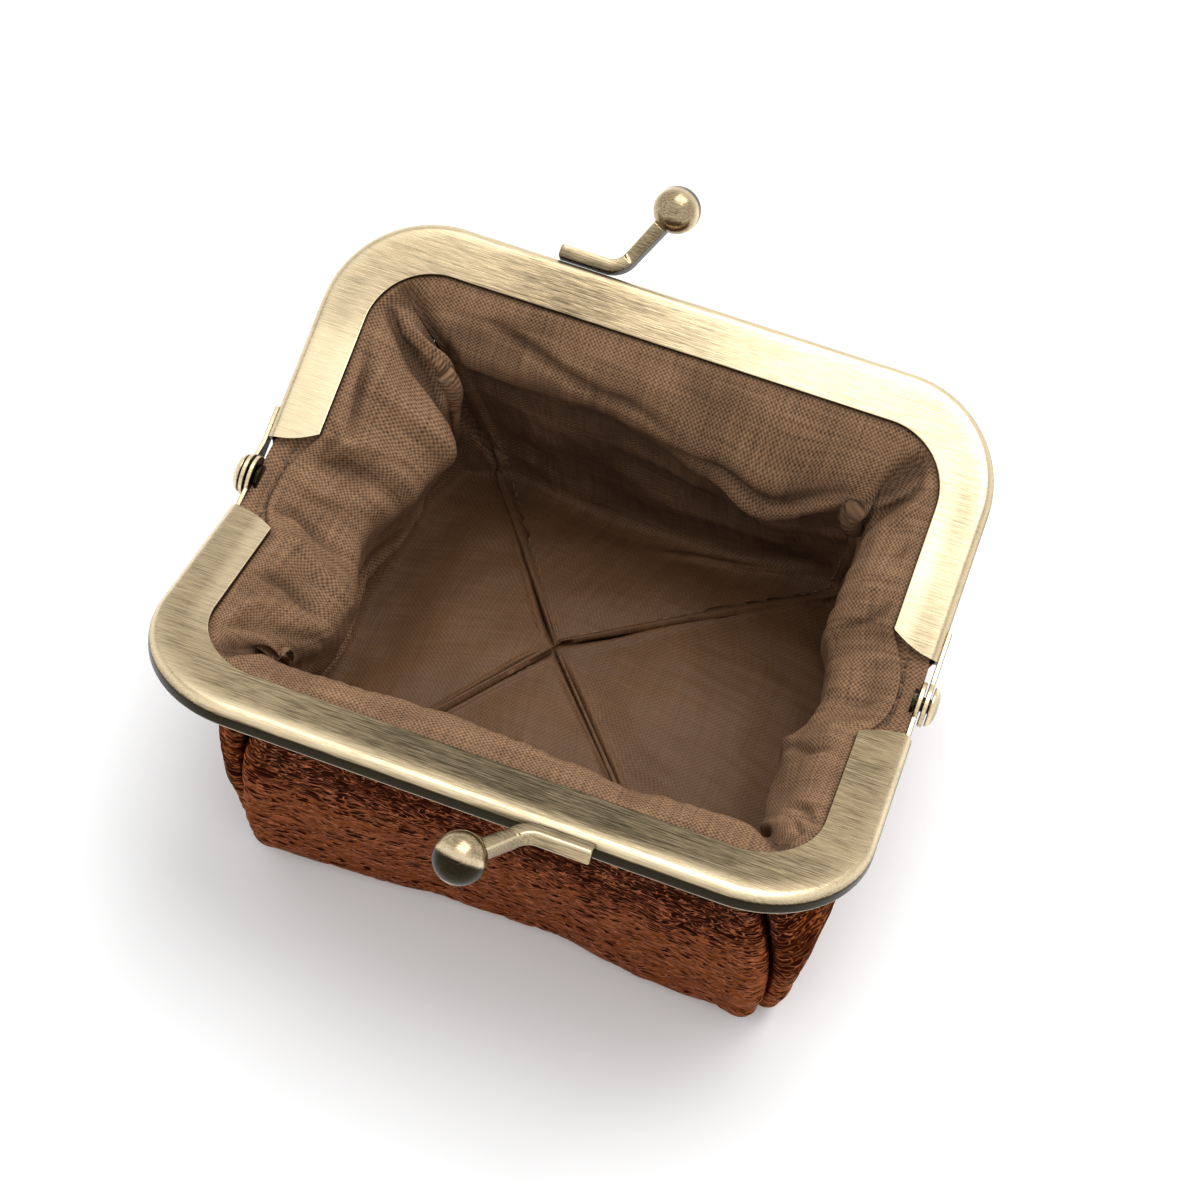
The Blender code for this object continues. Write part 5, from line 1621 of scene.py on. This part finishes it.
class PURSE_OT_stage(Operator):
    """Make the floor, the soft light and the camera"""

    bl_idname = "purse.add_stage"
    bl_label = "Stage"

    def execute(self, context):
        stage = context.scene.purse_stage
        scene = context.scene
        camera = bpy.data.cameras.new("photo_camera")
        camera.lens = stage.lens
        camera.sensor_width = 36.0
        camera.clip_start, camera.clip_end = 0.01, 20.0
        holder = bpy.data.objects.new("photo_camera", camera)
        holder.location = stage.camera_place
        holder.rotation_euler = stage.camera_turn
        scene.collection.objects.link(holder)
        scene.camera = holder

        corners = np.array(((-1, -1, 0), (1, -1, 0), (1, 1, 0), (-1, 1, 0))) * FLOOR_HALF_SIZE
        mesh = bpy.data.meshes.new("floor")
        mesh.from_pydata(corners.tolist(), [], [(0, 1, 2, 3)])
        floor = finish_object(mesh, "floor", floor_material("pale_floor", stage.floor), smooth=False)

        lamp = bpy.data.lights.new("overhead", "AREA")
        lamp.shape = "RECTANGLE"
        lamp.size, lamp.size_y = stage.lamp_size, stage.lamp_size
        lamp.energy = stage.lamp_power
        above = bpy.data.objects.new("overhead", lamp)
        above.location = stage.lamp_place
        backwards = Vector(stage.lamp_place) - Vector(LAMP_AIM)
        above.rotation_euler = backwards.to_track_quat("Z", "Y").to_euler()
        scene.collection.objects.link(above)

        world = bpy.data.worlds.new("white_room")
        world.use_nodes = True
        tree = world.node_tree
        background = tree.nodes["Background"]
        path = add_node(tree, "ShaderNodeLightPath")
        seen = maths(tree, "MAXIMUM", path.outputs["Is Camera Ray"], path.outputs["Is Glossy Ray"])
        seen = maths(tree, "MAXIMUM", seen, path.outputs["Is Transmission Ray"])
        strength = ranged(tree, seen, 0.0, 1.0, stage.sky_strength, 1.0, "LINEAR")
        tree.links.new(strength, background.inputs["Strength"])
        background.inputs["Color"].default_value = (1.0, 1.0, 1.0, 1.0)
        scene.world = world
        scene.view_settings.view_transform = "Standard"
        return {"FINISHED"}


class PURSE_PT_panel(Panel):
    """The purse's pieces and settings in the 3D view's sidebar"""

    bl_label = "Coin purse"
    bl_idname = "PURSE_PT_panel"
    bl_space_type = "VIEW_3D"
    bl_region_type = "UI"
    bl_category = "Purse"

    def draw(self, context):
        for operator in PIECES:
            self.layout.operator(operator.bl_idname)
        for settings in SETTINGS:
            group = getattr(context.scene, settings)
            box = self.layout.box()
            for key in group.bl_rna.properties.keys():
                if key not in ("rna_type", "name"):
                    box.prop(group, key)


PIECES = (
    PURSE_OT_stage,
    PURSE_OT_frame,
    PURSE_OT_clasp,
    PURSE_OT_rivets,
    PURSE_OT_leather,
    PURSE_OT_lining,
    PURSE_OT_stitches,
    PURSE_OT_seams,
)
SETTINGS = {
    "purse_metal": PURSE_PG_metal,
    "purse_leather": PURSE_PG_leather,
    "purse_lining": PURSE_PG_lining,
    "purse_thread": PURSE_PG_thread,
    "purse_stage": PURSE_PG_stage,
}


def register():
    for cls in (*SETTINGS.values(), *PIECES, PURSE_PT_panel):
        bpy.utils.register_class(cls)
    for key, group in SETTINGS.items():
        setattr(bpy.types.Scene, key, PointerProperty(type=group))


def unregister():
    for key in SETTINGS:
        delattr(bpy.types.Scene, key)
    for cls in reversed((*SETTINGS.values(), *PIECES, PURSE_PT_panel)):
        bpy.utils.unregister_class(cls)


def main():
    register()
    bpy.ops.purse.add_stage()
    bpy.ops.purse.add_frame()
    bpy.ops.purse.add_clasp()
    bpy.ops.purse.add_rivets()
    bpy.ops.purse.add_leather()
    bpy.ops.purse.add_lining()
    bpy.ops.purse.add_stitches()
    bpy.ops.purse.add_seams()


if __name__ == "__main__":
    main()
